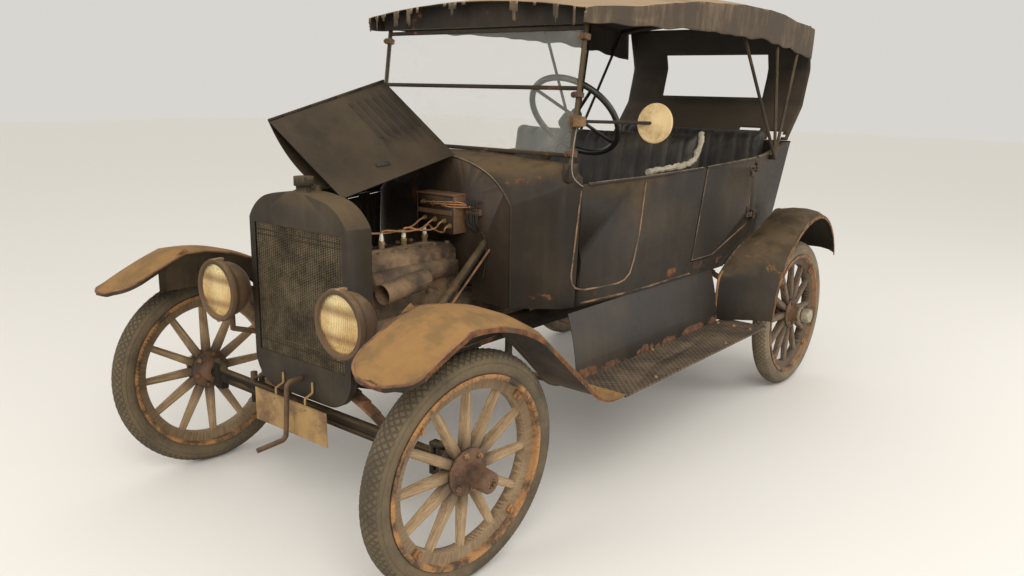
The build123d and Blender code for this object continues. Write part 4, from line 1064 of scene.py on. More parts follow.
@dataclass
class Workshop:
    """What the sub-assemblies share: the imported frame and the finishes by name."""

    frame: dict
    finishes: dict[str, bpy.types.Material] = field(default_factory=dict)
    trees: dict[str, BVHTree] = field(default_factory=dict)

    def joint(self, name: str) -> tuple[Vector, Vector]:
        """The pivot and axis of a joint, in metres.

        Args:
            name: The joint's name.

        Returns:
            The pivot and the axis.
        """
        for joint in self.frame["joints"]:
            if joint["name"] == name:
                return Vector(joint["pos_m"]), Vector(joint["axis"]).normalized()
        raise KeyError(name)

    def body_of(self, node: str) -> str:
        """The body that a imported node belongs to.

        Args:
            node: The node's name.

        Returns:
            The body's name.
        """
        for body, members in self.frame["record"]["behaviour"]["bodies"].items():
            if node in members:
                return body
        raise KeyError(node)

    def finish(self, name: str) -> bpy.types.Material:
        """The material of that name."""
        return self.finishes[name]

    def surface(self, node: str, start: Point, direction: Point) -> tuple[Vector, Vector]:
        """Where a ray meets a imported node, and the surface's normal there.

        Args:
            node: The node's name.
            start: Where the ray starts.
            direction: Where it goes.

        Returns:
            The place that it meets, and the normal there.
        """
        if node not in self.trees:
            mesh = bmesh.new()
            mesh.from_mesh(self.frame["nodes"][node].data)
            self.trees[node] = BVHTree.FromBMesh(mesh)
            mesh.free()
        place, normal, _, _ = self.trees[node].ray_cast(Vector(start), Vector(direction).normalized())
        if place is None:
            raise ValueError(f"no surface of {node} on the ray from {start}")
        return place, normal

    def edges(self, node: str, keep: Callable[[Vector, Vector, Vector], bool],
              fewest: int = 5) -> list[list[Point]]:
        """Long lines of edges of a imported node.

        Args:
            node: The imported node.
            keep: Tells from an edge's middle and its two faces' normals whether it belongs to a line.
            fewest: Lines of fewer points are left out.

        Returns:
            The lines' points in order.
        """
        mesh = bmesh.new()
        mesh.from_mesh(self.frame["nodes"][node].data)
        bmesh.ops.remove_doubles(mesh, verts=mesh.verts, dist=WELD)
        mesh.normal_update()
        mesh.edges.ensure_lookup_table()
        kept = {}
        for edge in mesh.edges:
            if len(edge.link_faces) == 2:
                middle = (edge.verts[0].co + edge.verts[1].co) / 2
                first, second = (face.normal for face in edge.link_faces)
                if keep(middle, first, second) or keep(middle, second, first):
                    kept[edge.index] = edge
        lines = []
        while kept:
            index = min(kept)
            edge = kept.pop(index)
            line = list(edge.verts)
            for forward in (True, False):
                tip = line[-1] if forward else line[0]
                following = next((e for e in tip.link_edges if e.index in kept), None)
                while following is not None:
                    del kept[following.index]
                    tip = following.other_vert(tip)
                    line.insert(len(line) if forward else 0, tip)
                    following = next((e for e in tip.link_edges if e.index in kept), None)
            if len(line) >= fewest:
                lines.append([tuple(vert.co) for vert in line])
        mesh.free()
        return lines

    def skin(self, node: str, finish: str, slot: str, crease: float = CREASE_DEGREES) -> bpy.types.Object:
        """A welded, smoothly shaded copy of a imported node, which stands for it.

        Args:
            node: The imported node.
            finish: Its material.
            slot: The record's material slot.
            crease: Edges sharper than this many degrees stay sharp.

        Returns:
            The copy.
        """
        source = self.frame["nodes"][node]
        mesh = bmesh.new()
        mesh.from_mesh(source.data)
        bmesh.ops.remove_doubles(mesh, verts=mesh.verts, dist=WELD)
        data = bpy.data.meshes.new(node + "_skin")
        mesh.to_mesh(data)
        mesh.free()
        skin = bpy.data.objects.new(node + "_skin", data)
        bpy.context.scene.collection.objects.link(skin)
        dress(skin, self.body_of(node), self.finish(finish), slot)
        skin.data.set_sharp_from_angle(angle=math.radians(crease))
        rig.replaces(skin, node)
        return skin


DOORS = ("door_rear_left", "door_rear_right", "door_front_right")

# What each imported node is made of: finish and material slot
NODE_LOOKS: dict[str, tuple[str, str]] = {
    "frame": ("chassis", "chassis_black"),
    "front_axle": ("chassis", "chassis_black"),
    "front_spring": ("spring", "spring_steel"),
    "rear_spring": ("spring", "spring_steel"),
    "rear_axle": ("chassis", "chassis_black"),
    "drive_tube": ("chassis", "chassis_black"),
    "radius_rods": ("chassis", "chassis_black"),
    "engine": ("engine", "engine_iron"),
    "exhaust": ("rusty_iron", "rusty_iron"),
    "radiator_shell": ("shell_paint", "black_paint"),
    "headlamps": ("lamp_paint", "black_paint"),
    "firewall": ("firewall", "rusty_iron"),
    "cowl": ("body_paint", "black_paint"),
    "body_left": ("body_paint", "black_paint"),
    "body_right": ("body_paint", "black_paint"),
    "body_back": ("body_paint", "black_paint"),
    "door_rear_left": ("door_paint", "black_paint"),
    "door_rear_right": ("door_paint", "black_paint"),
    "door_front_right": ("door_paint", "black_paint"),
    "floor": ("floor", "floor_wood"),
    "seat_boxes": ("body_paint", "floor_wood"),
    "fenders_front": ("fender_dusty", "black_paint"),
    "fenders_rear": ("fender_dark", "black_paint"),
    "running_boards": ("board", "board_steel"),
    "splash_aprons": ("apron_paint", "black_paint"),
    "windscreen_frame": ("screen_frame", "black_paint"),
    "windscreen_glass": ("clear_glass", "screen_glass"),
    "steering_column": ("chassis", "chassis_black"),
    "steering_wheel": ("wheel_rim", "wheel_rim_black"),
    "pitman_arm": ("chassis", "chassis_black"),
    "drag_link": ("chassis", "chassis_black"),
    "tie_rod": ("chassis", "chassis_black"),
    "knuckle_left": ("chassis", "chassis_black"),
    "knuckle_right": ("chassis", "chassis_black"),
    "bonnet_rod": ("rusty_iron", "black_paint"),
    "bonnet_top_left": ("bonnet_paint", "black_paint"),
    "bonnet_side_left": ("bonnet_inner", "black_paint"),
    "bonnet_top_right": ("bonnet_paint", "black_paint"),
    "bonnet_side_right": ("bonnet_paint", "black_paint"),
    "top_frame": ("top_iron", "chassis_black"),
    "crank": ("crank_iron", "rusty_iron"),
    "number_plate": ("plate", "plate_steel"),
}


@dataclass(frozen=True)
class WheelShades:
    """How one wheel's wood, rim and tyre have weathered."""

    wood: Colour
    pale_wood: Colour
    rim: Colour
    rubber: Colour
    dust: Colour


GOLDEN_WHEEL = WheelShades(rgb(0.20, 0.125, 0.060), rgb(0.39, 0.27, 0.150), rgb(0.36, 0.175, 0.060),
                           rgb(0.052, 0.040, 0.025), rgb(0.160, 0.115, 0.060))
DARK_WHEEL = WheelShades(rgb(0.085, 0.055, 0.033), rgb(0.185, 0.130, 0.080), rgb(0.26, 0.130, 0.055),
                         rgb(0.095, 0.072, 0.045), rgb(0.250, 0.190, 0.115))
WHEEL_SHADES = {
    Corner.FRONT_LEFT: GOLDEN_WHEEL,
    Corner.FRONT_RIGHT: GOLDEN_WHEEL,
    Corner.REAR_LEFT: DARK_WHEEL,
    Corner.REAR_RIGHT: DARK_WHEEL,
}


def make_finishes(shop: Workshop) -> None:
    """Builds every material.

    Args:
        shop: Gets the materials.
    """
    lip = RustLine("X", 0.8385, 0.0045, mirrored=True, strength=0.26)
    tip = RustLine("Y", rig.box("fenders_front")[0][1] - 0.003, 0.030, strength=0.20)
    sill = RustLine("Z", 0.745, 0.060, strength=0.10)
    belt = RustLine("Z", 1.185, 0.035, strength=0.08)
    foot = RustLine("Z", 0.455, 0.055, strength=0.26)
    back = RustLine("Y", 0.640, 0.060, strength=0.16)
    finishes = [
        WornPaint("chassis", dust_share=0.7, rust_level=0.60, gloss=0.6),
        WornPaint("body_paint", lines=(sill, belt)),
        WornPaint("door_paint", lines=(sill, belt), rust_level=0.64),
        WornPaint("fender_dusty", faded=rgb(0.085, 0.058, 0.030), dust=rgb(0.31, 0.170, 0.062),
                  stain=rgb(0.215, 0.130, 0.052), lines=(lip, tip), dust_share=0.95, rust_level=0.68),
        WornPaint("fender_dark", dust=rgb(0.20, 0.135, 0.070), lines=(lip,), dust_share=0.5,
                  rust=rgb(0.25, 0.130, 0.055), rust_level=0.60),
        WornPaint("apron_paint", dust_share=0.45, rust_level=0.74, gloss=0.30, specular=0.5,
                  lines=(foot, back)),
        WornPaint("bonnet_paint", base=rgb(0.012, 0.009, 0.006), faded=rgb(0.036, 0.026, 0.015),
                  dust=rgb(0.12, 0.080, 0.040), rust_level=0.70, dust_share=0.22),
        WornPaint("bonnet_inner", base=rgb(0.013, 0.010, 0.007), faded=rgb(0.042, 0.031, 0.019),
                  dust=rgb(0.13, 0.088, 0.045), rust_level=0.66, dust_share=0.26),
        WornPaint("shell_paint", base=rgb(0.018, 0.014, 0.009), faded=rgb(0.052, 0.038, 0.022),
                  rust_level=0.64, dust_share=0.4),
        WornPaint("lamp_paint", base=rgb(0.085, 0.052, 0.028), faded=rgb(0.17, 0.108, 0.055),
                  dust=rgb(0.26, 0.17, 0.085), rust_level=0.60),
        WornPaint("screen_frame", rust_level=0.60, gloss=0.5),
        WornPaint("top_iron", rust_level=0.60, gloss=0.5),
        WornPaint("firewall", base=rgb(0.030, 0.021, 0.014), faded=rgb(0.075, 0.050, 0.030), rust_level=0.58),
        RustyMetal("spring", bloom_level=0.54),
        RustyMetal("engine", dark=rgb(0.060, 0.040, 0.025), bloom=rgb(0.21, 0.125, 0.062), bloom_level=0.52),
        RustyMetal("rusty_iron"),
        RustyMetal("crank_iron", dark=rgb(0.032, 0.022, 0.015), bloom=rgb(0.13, 0.070, 0.034)),
        RustyMetal("plate", dark=rgb(0.14, 0.075, 0.035), bloom=rgb(0.33, 0.205, 0.075), bloom_level=0.46),
        RustyMetal("lamp_rim", dark=rgb(0.10, 0.058, 0.034), bloom=rgb(0.30, 0.175, 0.080), bloom_level=0.46),
        RustyMetal("hub_iron", dark=rgb(0.10, 0.055, 0.028), bloom=rgb(0.28, 0.155, 0.068), bloom_level=0.48),
        RustyMetal("rim_iron", dark=rgb(0.15, 0.070, 0.028), bloom=rgb(0.33, 0.165, 0.055), bloom_level=0.48),
        RustyMetal("clamp_iron", dark=rgb(0.062, 0.035, 0.019), bloom=rgb(0.21, 0.112, 0.046)),
        RustyMetal("mirror_brass", dark=rgb(0.33, 0.205, 0.085), bloom=rgb(0.56, 0.42, 0.215),
                   bloom_level=0.44, shine=0.35),
        RustyMetal("bead_rust", dark=rgb(0.095, 0.038, 0.020), bloom=rgb(0.27, 0.130, 0.050),
                   bloom_level=0.52),
        RustyMetal("bead_dark", dark=rgb(0.030, 0.021, 0.014), bloom=rgb(0.21, 0.115, 0.052),
                   bloom_level=0.54),
        RustyMetal("bead_worn", dark=rgb(0.060, 0.048, 0.034), bloom=rgb(0.27, 0.155, 0.080),
                   bloom_level=0.54),
        WornPaint("rail_paint", faded=rgb(0.075, 0.058, 0.038), dust=rgb(0.30, 0.23, 0.145), dust_share=0.85),
        PlainFinish("hinge_black", rgb(0.014, 0.012, 0.010), rough=0.45, dirt_share=0.5),
        CoreFins("core"),
        LampLens("lens"),
        ClearGlass("clear_glass"),
        FloorBoards("floor"),
        TreadBoard("board"),
        OldLeather("leather"),
        TopCloth("top_cloth"),
        PlainFinish("wheel_rim", rgb(0.016, 0.014, 0.012), rough=0.32, dirt_share=0.35),
        PlainFinish("porcelain", rgb(0.72, 0.69, 0.60), rough=0.28, dirt_share=0.3),
        PlainFinish("brass", rgb(0.52, 0.36, 0.15), rough=0.36, metallic=0.9),
        PlainFinish("copper_wire", rgb(0.42, 0.20, 0.085), rough=0.5, metallic=0.3),
        PlainFinish("black_wire", rgb(0.018, 0.016, 0.014), rough=0.6),
        PlainFinish("steel", rgb(0.30, 0.26, 0.21), rough=0.42, metallic=0.8),
        PlainFinish("stuffing", rgb(0.40, 0.35, 0.26), rough=0.95, dirt_share=0.5),
        PlainFinish("coil_wood", rgb(0.16, 0.085, 0.042), rough=0.55),
        PlainFinish("pale_cap", rgb(0.46, 0.40, 0.28), rough=0.42, metallic=0.7),
    ]
    for corner in Corner:
        wheel = corner.value
        centre, direction = shop.joint("spin_" + wheel)
        axle = Axle(tuple(centre), tuple(direction))
        shades = WHEEL_SHADES[corner]
        finishes.append(SpokedWheel("wheel_" + wheel, axle, shades.wood, shades.pale_wood, shades.rim))
        finishes.append(TyreRubber("tyre_" + wheel, axle, shades.rubber, shades.dust))
    for finish in finishes:
        shop.finishes[finish.name] = finish.build()
    LOG.info("%d finishes", len(shop.finishes))


def dress_nodes(shop: Workshop) -> None:
    """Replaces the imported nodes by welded, smooth copies in their finishes.

    Args:
        shop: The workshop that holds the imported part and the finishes.
    """
    for node, (finish, slot) in NODE_LOOKS.items():
        shop.skin(node, finish, slot)
    for corner in Corner:
        shop.skin("wheel_" + corner.value, "wheel_" + corner.value, "wheel_wood")


# Wheels: tread, hubs and rim lugs

@dataclass
class TreadedTyre:
    """A worn tyre with its diamond tread and shoulder notches as real relief."""

    shop: Workshop
    corner: Corner
    outer_radius: float = 0.381
    section: float = 0.043
    bead_angle: float = 125.5
    seat_radius: float = 0.3023
    seat_half: float = 0.029
    tread_half: float = 0.027
    diamonds: int = 84
    depth: float = 0.0035
    steps: int = 756
    points: int = 34

    def build(self) -> None:
        """Spins the tyre's section round its axle and sinks the tread's grooves."""
        name = "tyre_" + self.corner.value
        centre, axis = self.shop.joint("spin_" + self.corner.value)
        middle = self.outer_radius - self.section
        section = [(middle + self.section * math.cos(turn), self.section * math.sin(turn))
                   for turn in (math.radians(self.bead_angle * (2 * i / (self.points - 1) - 1))
                                for i in range(self.points))]
        section += [(self.seat_radius, self.seat_half), (self.seat_radius, -self.seat_half)]
        former = Former(name + "_relief")
        former.ring(tuple(centre), tuple(axis), 0.0, section, self.steps)
        self.sink(former.mesh, centre, axis)
        tyre = former.place(name_body(self.corner), self.shop.finish(name), "tyre_rubber")
        tyre.data.set_sharp_from_angle(angle=math.radians(60))
        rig.replaces(tyre, name)

    def sink(self, mesh: bmesh.types.BMesh, centre: Vector, axis: Vector) -> None:
        """Lowers every tread point that lies inside a diamond, and notches the shoulders.

        Args:
            mesh: The tyre's mesh.
            centre: The wheel's centre.
            axis: The axle's direction.
        """
        up = (Vector((0, 0, 1)) - axis * axis.z).normalized()
        side = axis.cross(up)
        for vert in mesh.verts:
            offset = vert.co - centre
            along = offset.dot(axis)
            radial = offset - axis * along
            if radial.length < 0.345:
                continue
            turns = math.atan2(radial.dot(side), radial.dot(up)) / (2 * math.pi)
            if abs(along) < self.tread_half:
                first = abs((turns * self.diamonds + along * 42.0) % 1.0 - 0.5)
                second = abs((turns * self.diamonds - along * 42.0) % 1.0 - 0.5)
                inside = min(0.5 - first, 0.5 - second)
                sunk = min(1.0, max(0.0, (inside - 0.07) / 0.10))
                fade = min(1.0, (self.tread_half - abs(along)) / 0.004)
            else:
                sunk = 1.0 if (turns * self.diamonds * 2) % 1.0 < 0.42 else 0.0
                fade = 0.35 * max(0.0, min(1.0, (radial.length - 0.345) / 0.012))
            wear = 0.75 + 0.35 * wobble(*vert.co, 3.0)
            vert.co -= radial.normalized() * self.depth * sunk * fade * wear


def name_body(corner: Corner) -> str:
    """The body of a wheel."""
    return "wheel_" + corner.value


@dataclass
class WheelFittings:
    """Hub bolts, the hub's cap or bare nut, and the lugs that hold the rim."""

    shop: Workshop
    corner: Corner
    bolts: int = 6
    bolt_circle: float = 0.061
    nut_half: float = 0.0075
    flange: float = 0.025
    lugs: int = 4
    lug_radius: float = 0.283
    felloe: float = 0.020
    cap_radius: float = 0.0355
    cap_span: tuple[float, float] = (0.066, 0.1255)

    def base(self, degrees: float) -> Matrix:
        """A frame at the hub: X outward in the wheel's plane, Z out along the axle.

        Args:
            degrees: The turn round the axle.

        Returns:
            The frame.
        """
        centre, axis = self.shop.joint("spin_" + self.corner.value)
        out = axis * self.corner.side
        up = (Vector((0, 0, 1)) - out * out.z).normalized()
        radial = Matrix.Rotation(math.radians(degrees), 3, out) @ up
        turn = Matrix((radial, out.cross(radial), out)).transposed().to_4x4()
        return Matrix.Translation(centre) @ turn

    def build(self) -> None:
        """Builds the fittings."""
        body = name_body(self.corner)
        self.hub_bolts(body)
        self.rim_lugs(body)
        if self.corner is Corner.FRONT_LEFT:
            self.bare_nut(body)
        else:
            self.cap(body)

    def hub_bolts(self, body: str) -> None:
        """Bolts through the hub's flanges, with square nuts outside.

        Args:
            body: The wheel's body.
        """
        former = Former(body + "_hub_bolts")
        for index in range(self.bolts):
            base = self.base(15 + 360 / self.bolts * index)
            for side in (-1, 1):
                low, high = sorted((side * self.flange, side * (self.flange + 0.007)))
                former.block((self.bolt_circle - self.nut_half, -self.nut_half, low),
                             (self.bolt_circle + self.nut_half, self.nut_half, high), 0.0012, base)
            former.rod(tuple(base @ Vector((self.bolt_circle, 0, self.flange))),
                       tuple(base @ Vector((self.bolt_circle, 0, self.flange + 0.012))), 0.0042, sides=10)
        former.place(body, self.shop.finish("hub_iron"), "rusty_iron")

    def rim_lugs(self, body: str) -> None:
        """Clamps between felloe and rim, each with its bolt.

        Args:
            body: The wheel's body.
        """
        former = Former(body + "_rim_lugs")
        for index in range(self.lugs):
            base = self.base(45 + 360 / self.lugs * index)
            former.block((self.lug_radius - 0.016, -0.013, self.felloe),
                         (self.lug_radius + 0.012, 0.013, self.felloe + 0.012), 0.003, base)
            former.rod(tuple(base @ Vector((self.lug_radius - 0.004, 0, self.felloe + 0.010))),
                       tuple(base @ Vector((self.lug_radius - 0.004, 0, self.felloe + 0.019))),
                       0.0085, sides=6)
        former.place(body, self.shop.finish("rim_iron"), "rusty_iron")

    def cap(self, body: str) -> None:
        """A turned hub cap with a plain end.

        Args:
            body: The wheel's body.
        """
        centre, axis = self.shop.joint("spin_" + self.corner.value)
        low, high = self.cap_span
        radius = self.cap_radius
        former = Former(body + "_cap")
        profile = [(0.0345, low), (radius + 0.003, low), (radius + 0.003, low + 0.010), (radius, low + 0.013),
                   (radius, high - 0.010), (radius - 0.003, high - 0.003), (radius - 0.010, high),
                   (0.0020, high), (0.0020, high - 0.003), (radius - 0.012, high - 0.004),
                   (0.0345, high - 0.016)]
        side = self.corner.side
        former.ring(tuple(centre), tuple(axis), 0.0, [(out, side * along) for out, along in profile], 48)
        former.place(body, self.shop.finish("pale_cap"), "core_metal")

    def bare_nut(self, body: str) -> None:
        """The axle's castle nut and washer, where the cap is lost.

        Args:
            body: The wheel's body.
        """
        base = self.base(0)
        former = Former(body + "_axle_nut")
        former.rod(tuple(base @ Vector((0, 0, 0.112))), tuple(base @ Vector((0, 0, 0.119))), 0.024, sides=6)
        for index in range(6):
            notch = self.base(60 * index)
            former.block((0.009, -0.004, 0.118), (0.018, 0.004, 0.1245), 0.001, notch)
        former.place(body, self.shop.finish("hub_iron"), "rusty_iron")


# The open engine bay

@dataclass
class EngineBay:
    """Spark plugs, ignition wires, terminals, hose clamps and bolts."""

    shop: Workshop
    head_z: float = 0.925
    boss_z: float = 0.943
    plug_y: tuple[float, ...] = (-1.062, -0.949, -0.836, -0.723)
    terminals: tuple[tuple[float, float], ...] = ((-0.020, 1.015), (0.034, 1.014), (0.084, 1.013),
                                                  (0.112, 0.996))
    upper_terminals: tuple[tuple[float, float], ...] = ((-0.026, 1.078), (0.029, 1.077), (0.084, 1.075))
    box_front: float = -0.700

    def build(self) -> None:
        """Builds the fittings."""
        self.plugs()
        self.studs()
        self.wires()
        self.coil_box()
        self.harness()
        self.bolts()
        self.clamps()
        self.control_rods()

    def plugs(self) -> None:
        """A hexagon, a white insulator and a brass nut for each cylinder."""
        irons, white = Former("plug_bodies"), Former("plug_insulators")
        for y in self.plug_y:
            irons.rod((0, y, self.boss_z), (0, y, self.boss_z + 0.009), 0.0125, sides=6)
            irons.rod((0, y, self.boss_z + 0.009), (0, y, self.boss_z + 0.014), 0.0105, 0.009)
            white.rod((0, y, self.boss_z + 0.013), (0, y, self.boss_z + 0.024), 0.0090, 0.0080)
            white.rod((0, y, self.boss_z + 0.024), (0, y, self.boss_z + 0.040), 0.0080, 0.0052)
            irons.rod((0, y, self.boss_z + 0.040), (0, y, self.boss_z + 0.046), 0.0055, sides=6)
        irons.place("chassis", self.shop.finish("brass"), "core_metal")
        white.place("chassis", self.shop.finish("porcelain"), "lamp_glass")

    def studs(self) -> None:
        """Brass studs with nuts on the coil box."""
        former = Former("coil_terminals")
        for x, z in self.terminals + self.upper_terminals:
            former.rod((x, self.box_front, z), (x, self.box_front - 0.018, z), 0.0035, sides=10)
            former.rod((x, self.box_front, z), (x, self.box_front - 0.004, z), 0.0100)
            former.rod((x, self.box_front - 0.006, z), (x, self.box_front - 0.012, z), 0.0080, sides=6)
        former.place("chassis", self.shop.finish("brass"), "core_metal")

    def wires(self) -> None:
        """Cloth-covered wires from the plugs up to the coil box, fixed at both ends."""
        lines = []
        for y, (x, z) in zip(self.plug_y, self.terminals):
            tip = self.boss_z + 0.046
            run = self.box_front - 0.012 - y
            lines.append([(0, y, tip), (0.002, y + 0.018, tip + 0.006),
                          (x * 0.35, y + run * 0.45, tip - 0.012),
                          (x * 0.85, y + run * 0.82, z - 0.030), (x, self.box_front - 0.030, z - 0.004),
                          (x, self.box_front - 0.010, z)])
        tubes("plug_wires", lines, 0.0036, "chassis", self.shop.finish("copper_wire"), "core_metal")
        upper = [[(x, self.box_front - 0.010, z), (x + 0.02, self.box_front - 0.026, z + 0.004),
                  (0.120, -0.715, z + 0.012 - 0.008 * index), (0.150, -0.665, 1.088 - 0.010 * index),
                  (0.160 + 0.012 * index, -0.644, 1.070)]
                 for index, (x, z) in enumerate(self.upper_terminals)]
        tubes("coil_wires", upper, 0.0026, "chassis", self.shop.finish("copper_wire"), "core_metal")

    def coil_box(self) -> None:
        """The coil box's wooden lid and its side strips."""
        former = Former("coil_box_lid")
        former.block((-0.064, -0.705, 1.1085), (0.134, -0.6315, 1.117), 0.003)
        for x in (-0.0625, 0.1305):
            former.block((x, -0.7005, 0.966), (x + 0.002, -0.632, 1.1085), 0.0006)
        former.block((-0.055, -0.7035, 1.036), (0.125, -0.7005, 1.054), 0.001)
        former.place("chassis", self.shop.finish("coil_wood"), "floor_wood")

    def harness(self) -> None:
        """A terminal block on the firewall with its comb of wires."""
        former = Former("terminal_block")
        former.block((0.146, -0.646, 1.040), (0.218, -0.6305, 1.062), 0.002)
        for index in range(7):
            x = 0.152 + 0.010 * index
            former.rod((x, -0.645, 1.051), (x, -0.652, 1.051), 0.0032, sides=6)
        former.place("chassis", self.shop.finish("coil_wood"), "floor_wood")
        lines = []
        for index in range(7):
            x = 0.152 + 0.010 * index
            bow = 0.004 * math.sin(index * 2.3)
            lines.append([(x, -0.648, 1.051), (x + bow, -0.664, 1.075), (x, -0.656, 1.100),
                          (x + 0.006, -0.634, 1.092)])
            lines.append([(x, -0.648, 1.051), (x - bow, -0.660, 1.025), (x + 0.004, -0.648, 0.996),
                          (0.190, -0.636, 0.975)])
        lines.append([(0.190, -0.636, 0.978), (0.205, -0.650, 0.962), (0.228, -0.644, 0.985),
                      (0.246, -0.640, 0.940), (0.243, -0.640, 0.860), (0.230, -0.640, 0.800)])
        tubes("harness_wires", lines, 0.0019, "chassis", self.shop.finish("black_wire"), "core_metal")

    def bolts(self) -> None:
        """Cylinder head bolts and the side cover's nuts."""
        former = Former("head_bolts")
        for index in range(7):
            y = -1.100 + 0.070 * index
            for x in (-0.050, 0.078):
                former.rod((x, y, self.head_z - 0.001), (x, y, self.head_z + 0.008), 0.0095, sides=6)
        for index in range(4):
            y = -1.060 + 0.115 * index
            former.rod((0.1195, y, 0.765), (0.128, y, 0.765), 0.0085, sides=6)
        former.place("chassis", self.shop.finish("engine"), "engine_iron")

    def clamps(self) -> None:
        """The outlet hose's two clamps."""
        former = Former("hose_clamps")
        start, end = Vector((0, -1.080, 0.978)), Vector((0, -1.2345, 1.012))
        for share in (0.30, 0.88):
            centre = start.lerp(end, share)
            former.ring(tuple(centre), tuple(end - start), 0.0262,
                        [(0, -0.006), (0.0022, -0.006), (0.0022, 0.006), (0, 0.006)], 32)
            former.block((-0.004, centre.y - 0.005, centre.z + 0.026),
                         (0.004, centre.y + 0.005, centre.z + 0.036), 0.001)
        former.place("chassis", self.shop.finish("steel"), "core_metal")

    def control_rods(self) -> None:
        """The thin spark and throttle rods beside the steering column."""
        top, axis = self.shop.joint("steering")
        foot, _ = self.shop.joint("pitman_turn")
        run = foot - top
        lines = []
        for x in (0.027, -0.027):
            start = top + run * 0.555 + Vector((x, 0, 0)) + axis.cross(Vector((1, 0, 0))) * 0.012
            end = top + run * 0.90 + Vector((x, 0, 0)) + axis.cross(Vector((1, 0, 0))) * 0.012
            lines.append([tuple(start), tuple(end)])
        tubes("control_rods", lines, 0.0045, "chassis", self.shop.finish("rusty_iron"), "rusty_iron",
              exact=True)


# Lamps and radiator

@dataclass
class Lamps:
    """The fluted lenses, their rims and latches."""

    shop: Workshop
    centre_x: float = 0.333
    centre_z: float = 0.797
    edge_y: float = -1.4275
    bulge: float = 0.0085
    radius: float = 0.0955
    flute: float = 0.0085
    latch_front: float = -1.4365
    latch_back: float = -1.400
    rings: int = 44
    steps: int = 132

    def build(self) -> None:
        """Builds lenses and rims."""
        lenses, rims = Former("lamp_lenses"), Former("lamp_rims")
        for side in (-1, 1):
            x = side * self.centre_x
            centre = (x, self.edge_y, self.centre_z)
            front = [(self.radius * i / self.rings + 0.0004, -self.bulge * (1 - (i / self.rings) ** 2))
                     for i in range(self.rings + 1)]
            section = front + [(self.radius, 0.0025), (0.0004, 0.0025)]
            lenses.ring(centre, (0, 1, 0), 0.0, section, self.steps)
            rims.hoop((x, -1.4345, self.centre_z), (0, 1, 0), 0.1040, 0.0034, 72)
            rims.ring((x, -1.4300, self.centre_z), (0, 1, 0), 0.0965,
                      [(0, -0.004), (0.006, -0.0055), (0.006, 0.004), (0, 0.004)], 72)
            for half, low, high in ((0.009, 0.1040, 0.1145), (0.006, -0.1160, -0.1040)):
                rims.block((x - half, self.latch_front, self.centre_z + low),
                           (x + half, self.latch_back, self.centre_z + high), 0.002)
        for vert in lenses.mesh.verts:
            if vert.co.y < self.edge_y:
                share = (self.edge_y - vert.co.y) / self.bulge
                x = abs(vert.co.x) - self.centre_x
                vert.co.y += 0.0013 * math.sin(2 * math.pi * x / self.flute) * min(1.0, share * 5 + 0.2)
        lens = lenses.place("chassis", self.shop.finish("lens"), "lamp_glass")
        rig.replaces(lens, "headlamp_lenses")
        rims.place("chassis", self.shop.finish("lamp_rim"), "rusty_iron")


@dataclass
class Radiator:
    """The core's fins and tubes, its wires, the filler's wings, and rivets on the shell."""

    shop: Workshop
    half_width: float = 0.230
    levels: tuple[float, ...] = (1.022, 1.004, 0.640, 0.622)
    fin_pitch: float = 0.0054
    fin: float = 0.0014
    tube_pitch: float = 0.0118
    tube: float = 0.0028
    inset: float = 0.0012

    def core(self) -> None:
        """Stacks fine fins across flat upright tubes."""
        low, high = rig.box("radiator_core")
        former = Former("core_fins")
        for index in range(int((high[2] - low[2] - self.fin) / self.fin_pitch) + 1):
            z = low[2] + index * self.fin_pitch
            former.block((low[0], low[1], z), (high[0], high[1], z + self.fin))
        for index in range(int((high[0] - low[0] - self.tube) / self.tube_pitch) + 1):
            x = low[0] + 0.004 + index * self.tube_pitch
            former.block((x, low[1] + self.inset, low[2]), (x + self.tube, high[1] - self.inset, high[2]))
        fins = former.place("chassis", self.shop.finish("core"), "core_metal", smooth=False)
        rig.replaces(fins, "radiator_core")

    def build(self) -> None:
        """Builds the core, the strips and the rivets."""
        self.core()
        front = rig.box("radiator_core")[0][1]
        strips = Former("core_strips")
        for z in self.levels:
            strips.rod((-self.half_width, front - 0.0005, z), (self.half_width, front - 0.0005, z), 0.0016,
                       sides=8)
        strips.place("chassis", self.shop.finish("shell_paint"), "core_metal")
        rivets = Former("shell_rivets")
        shell_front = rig.box("radiator_shell")[0][1]
        for side in (-1, 1):
            for index in range(5):
                x, z = side * 0.246, 0.640 + 0.095 * index
                place, normal = self.shop.surface("radiator_shell", (x, shell_front - 0.2, z), (0, 1, 0))
                rivets.rod(tuple(place + normal * 0.0004), tuple(place - normal * 0.003), 0.0045, 0.0052,
                           sides=12)
        for x in (-0.012, 0.012):
            rivets.rod((x, -1.300, 1.190), (x * 2.6, -1.296, 1.209), 0.0045, 0.0035, sides=10)
        rivets.place("chassis", self.shop.finish("shell_paint"), "black_paint")


# Fenders, body and windscreen

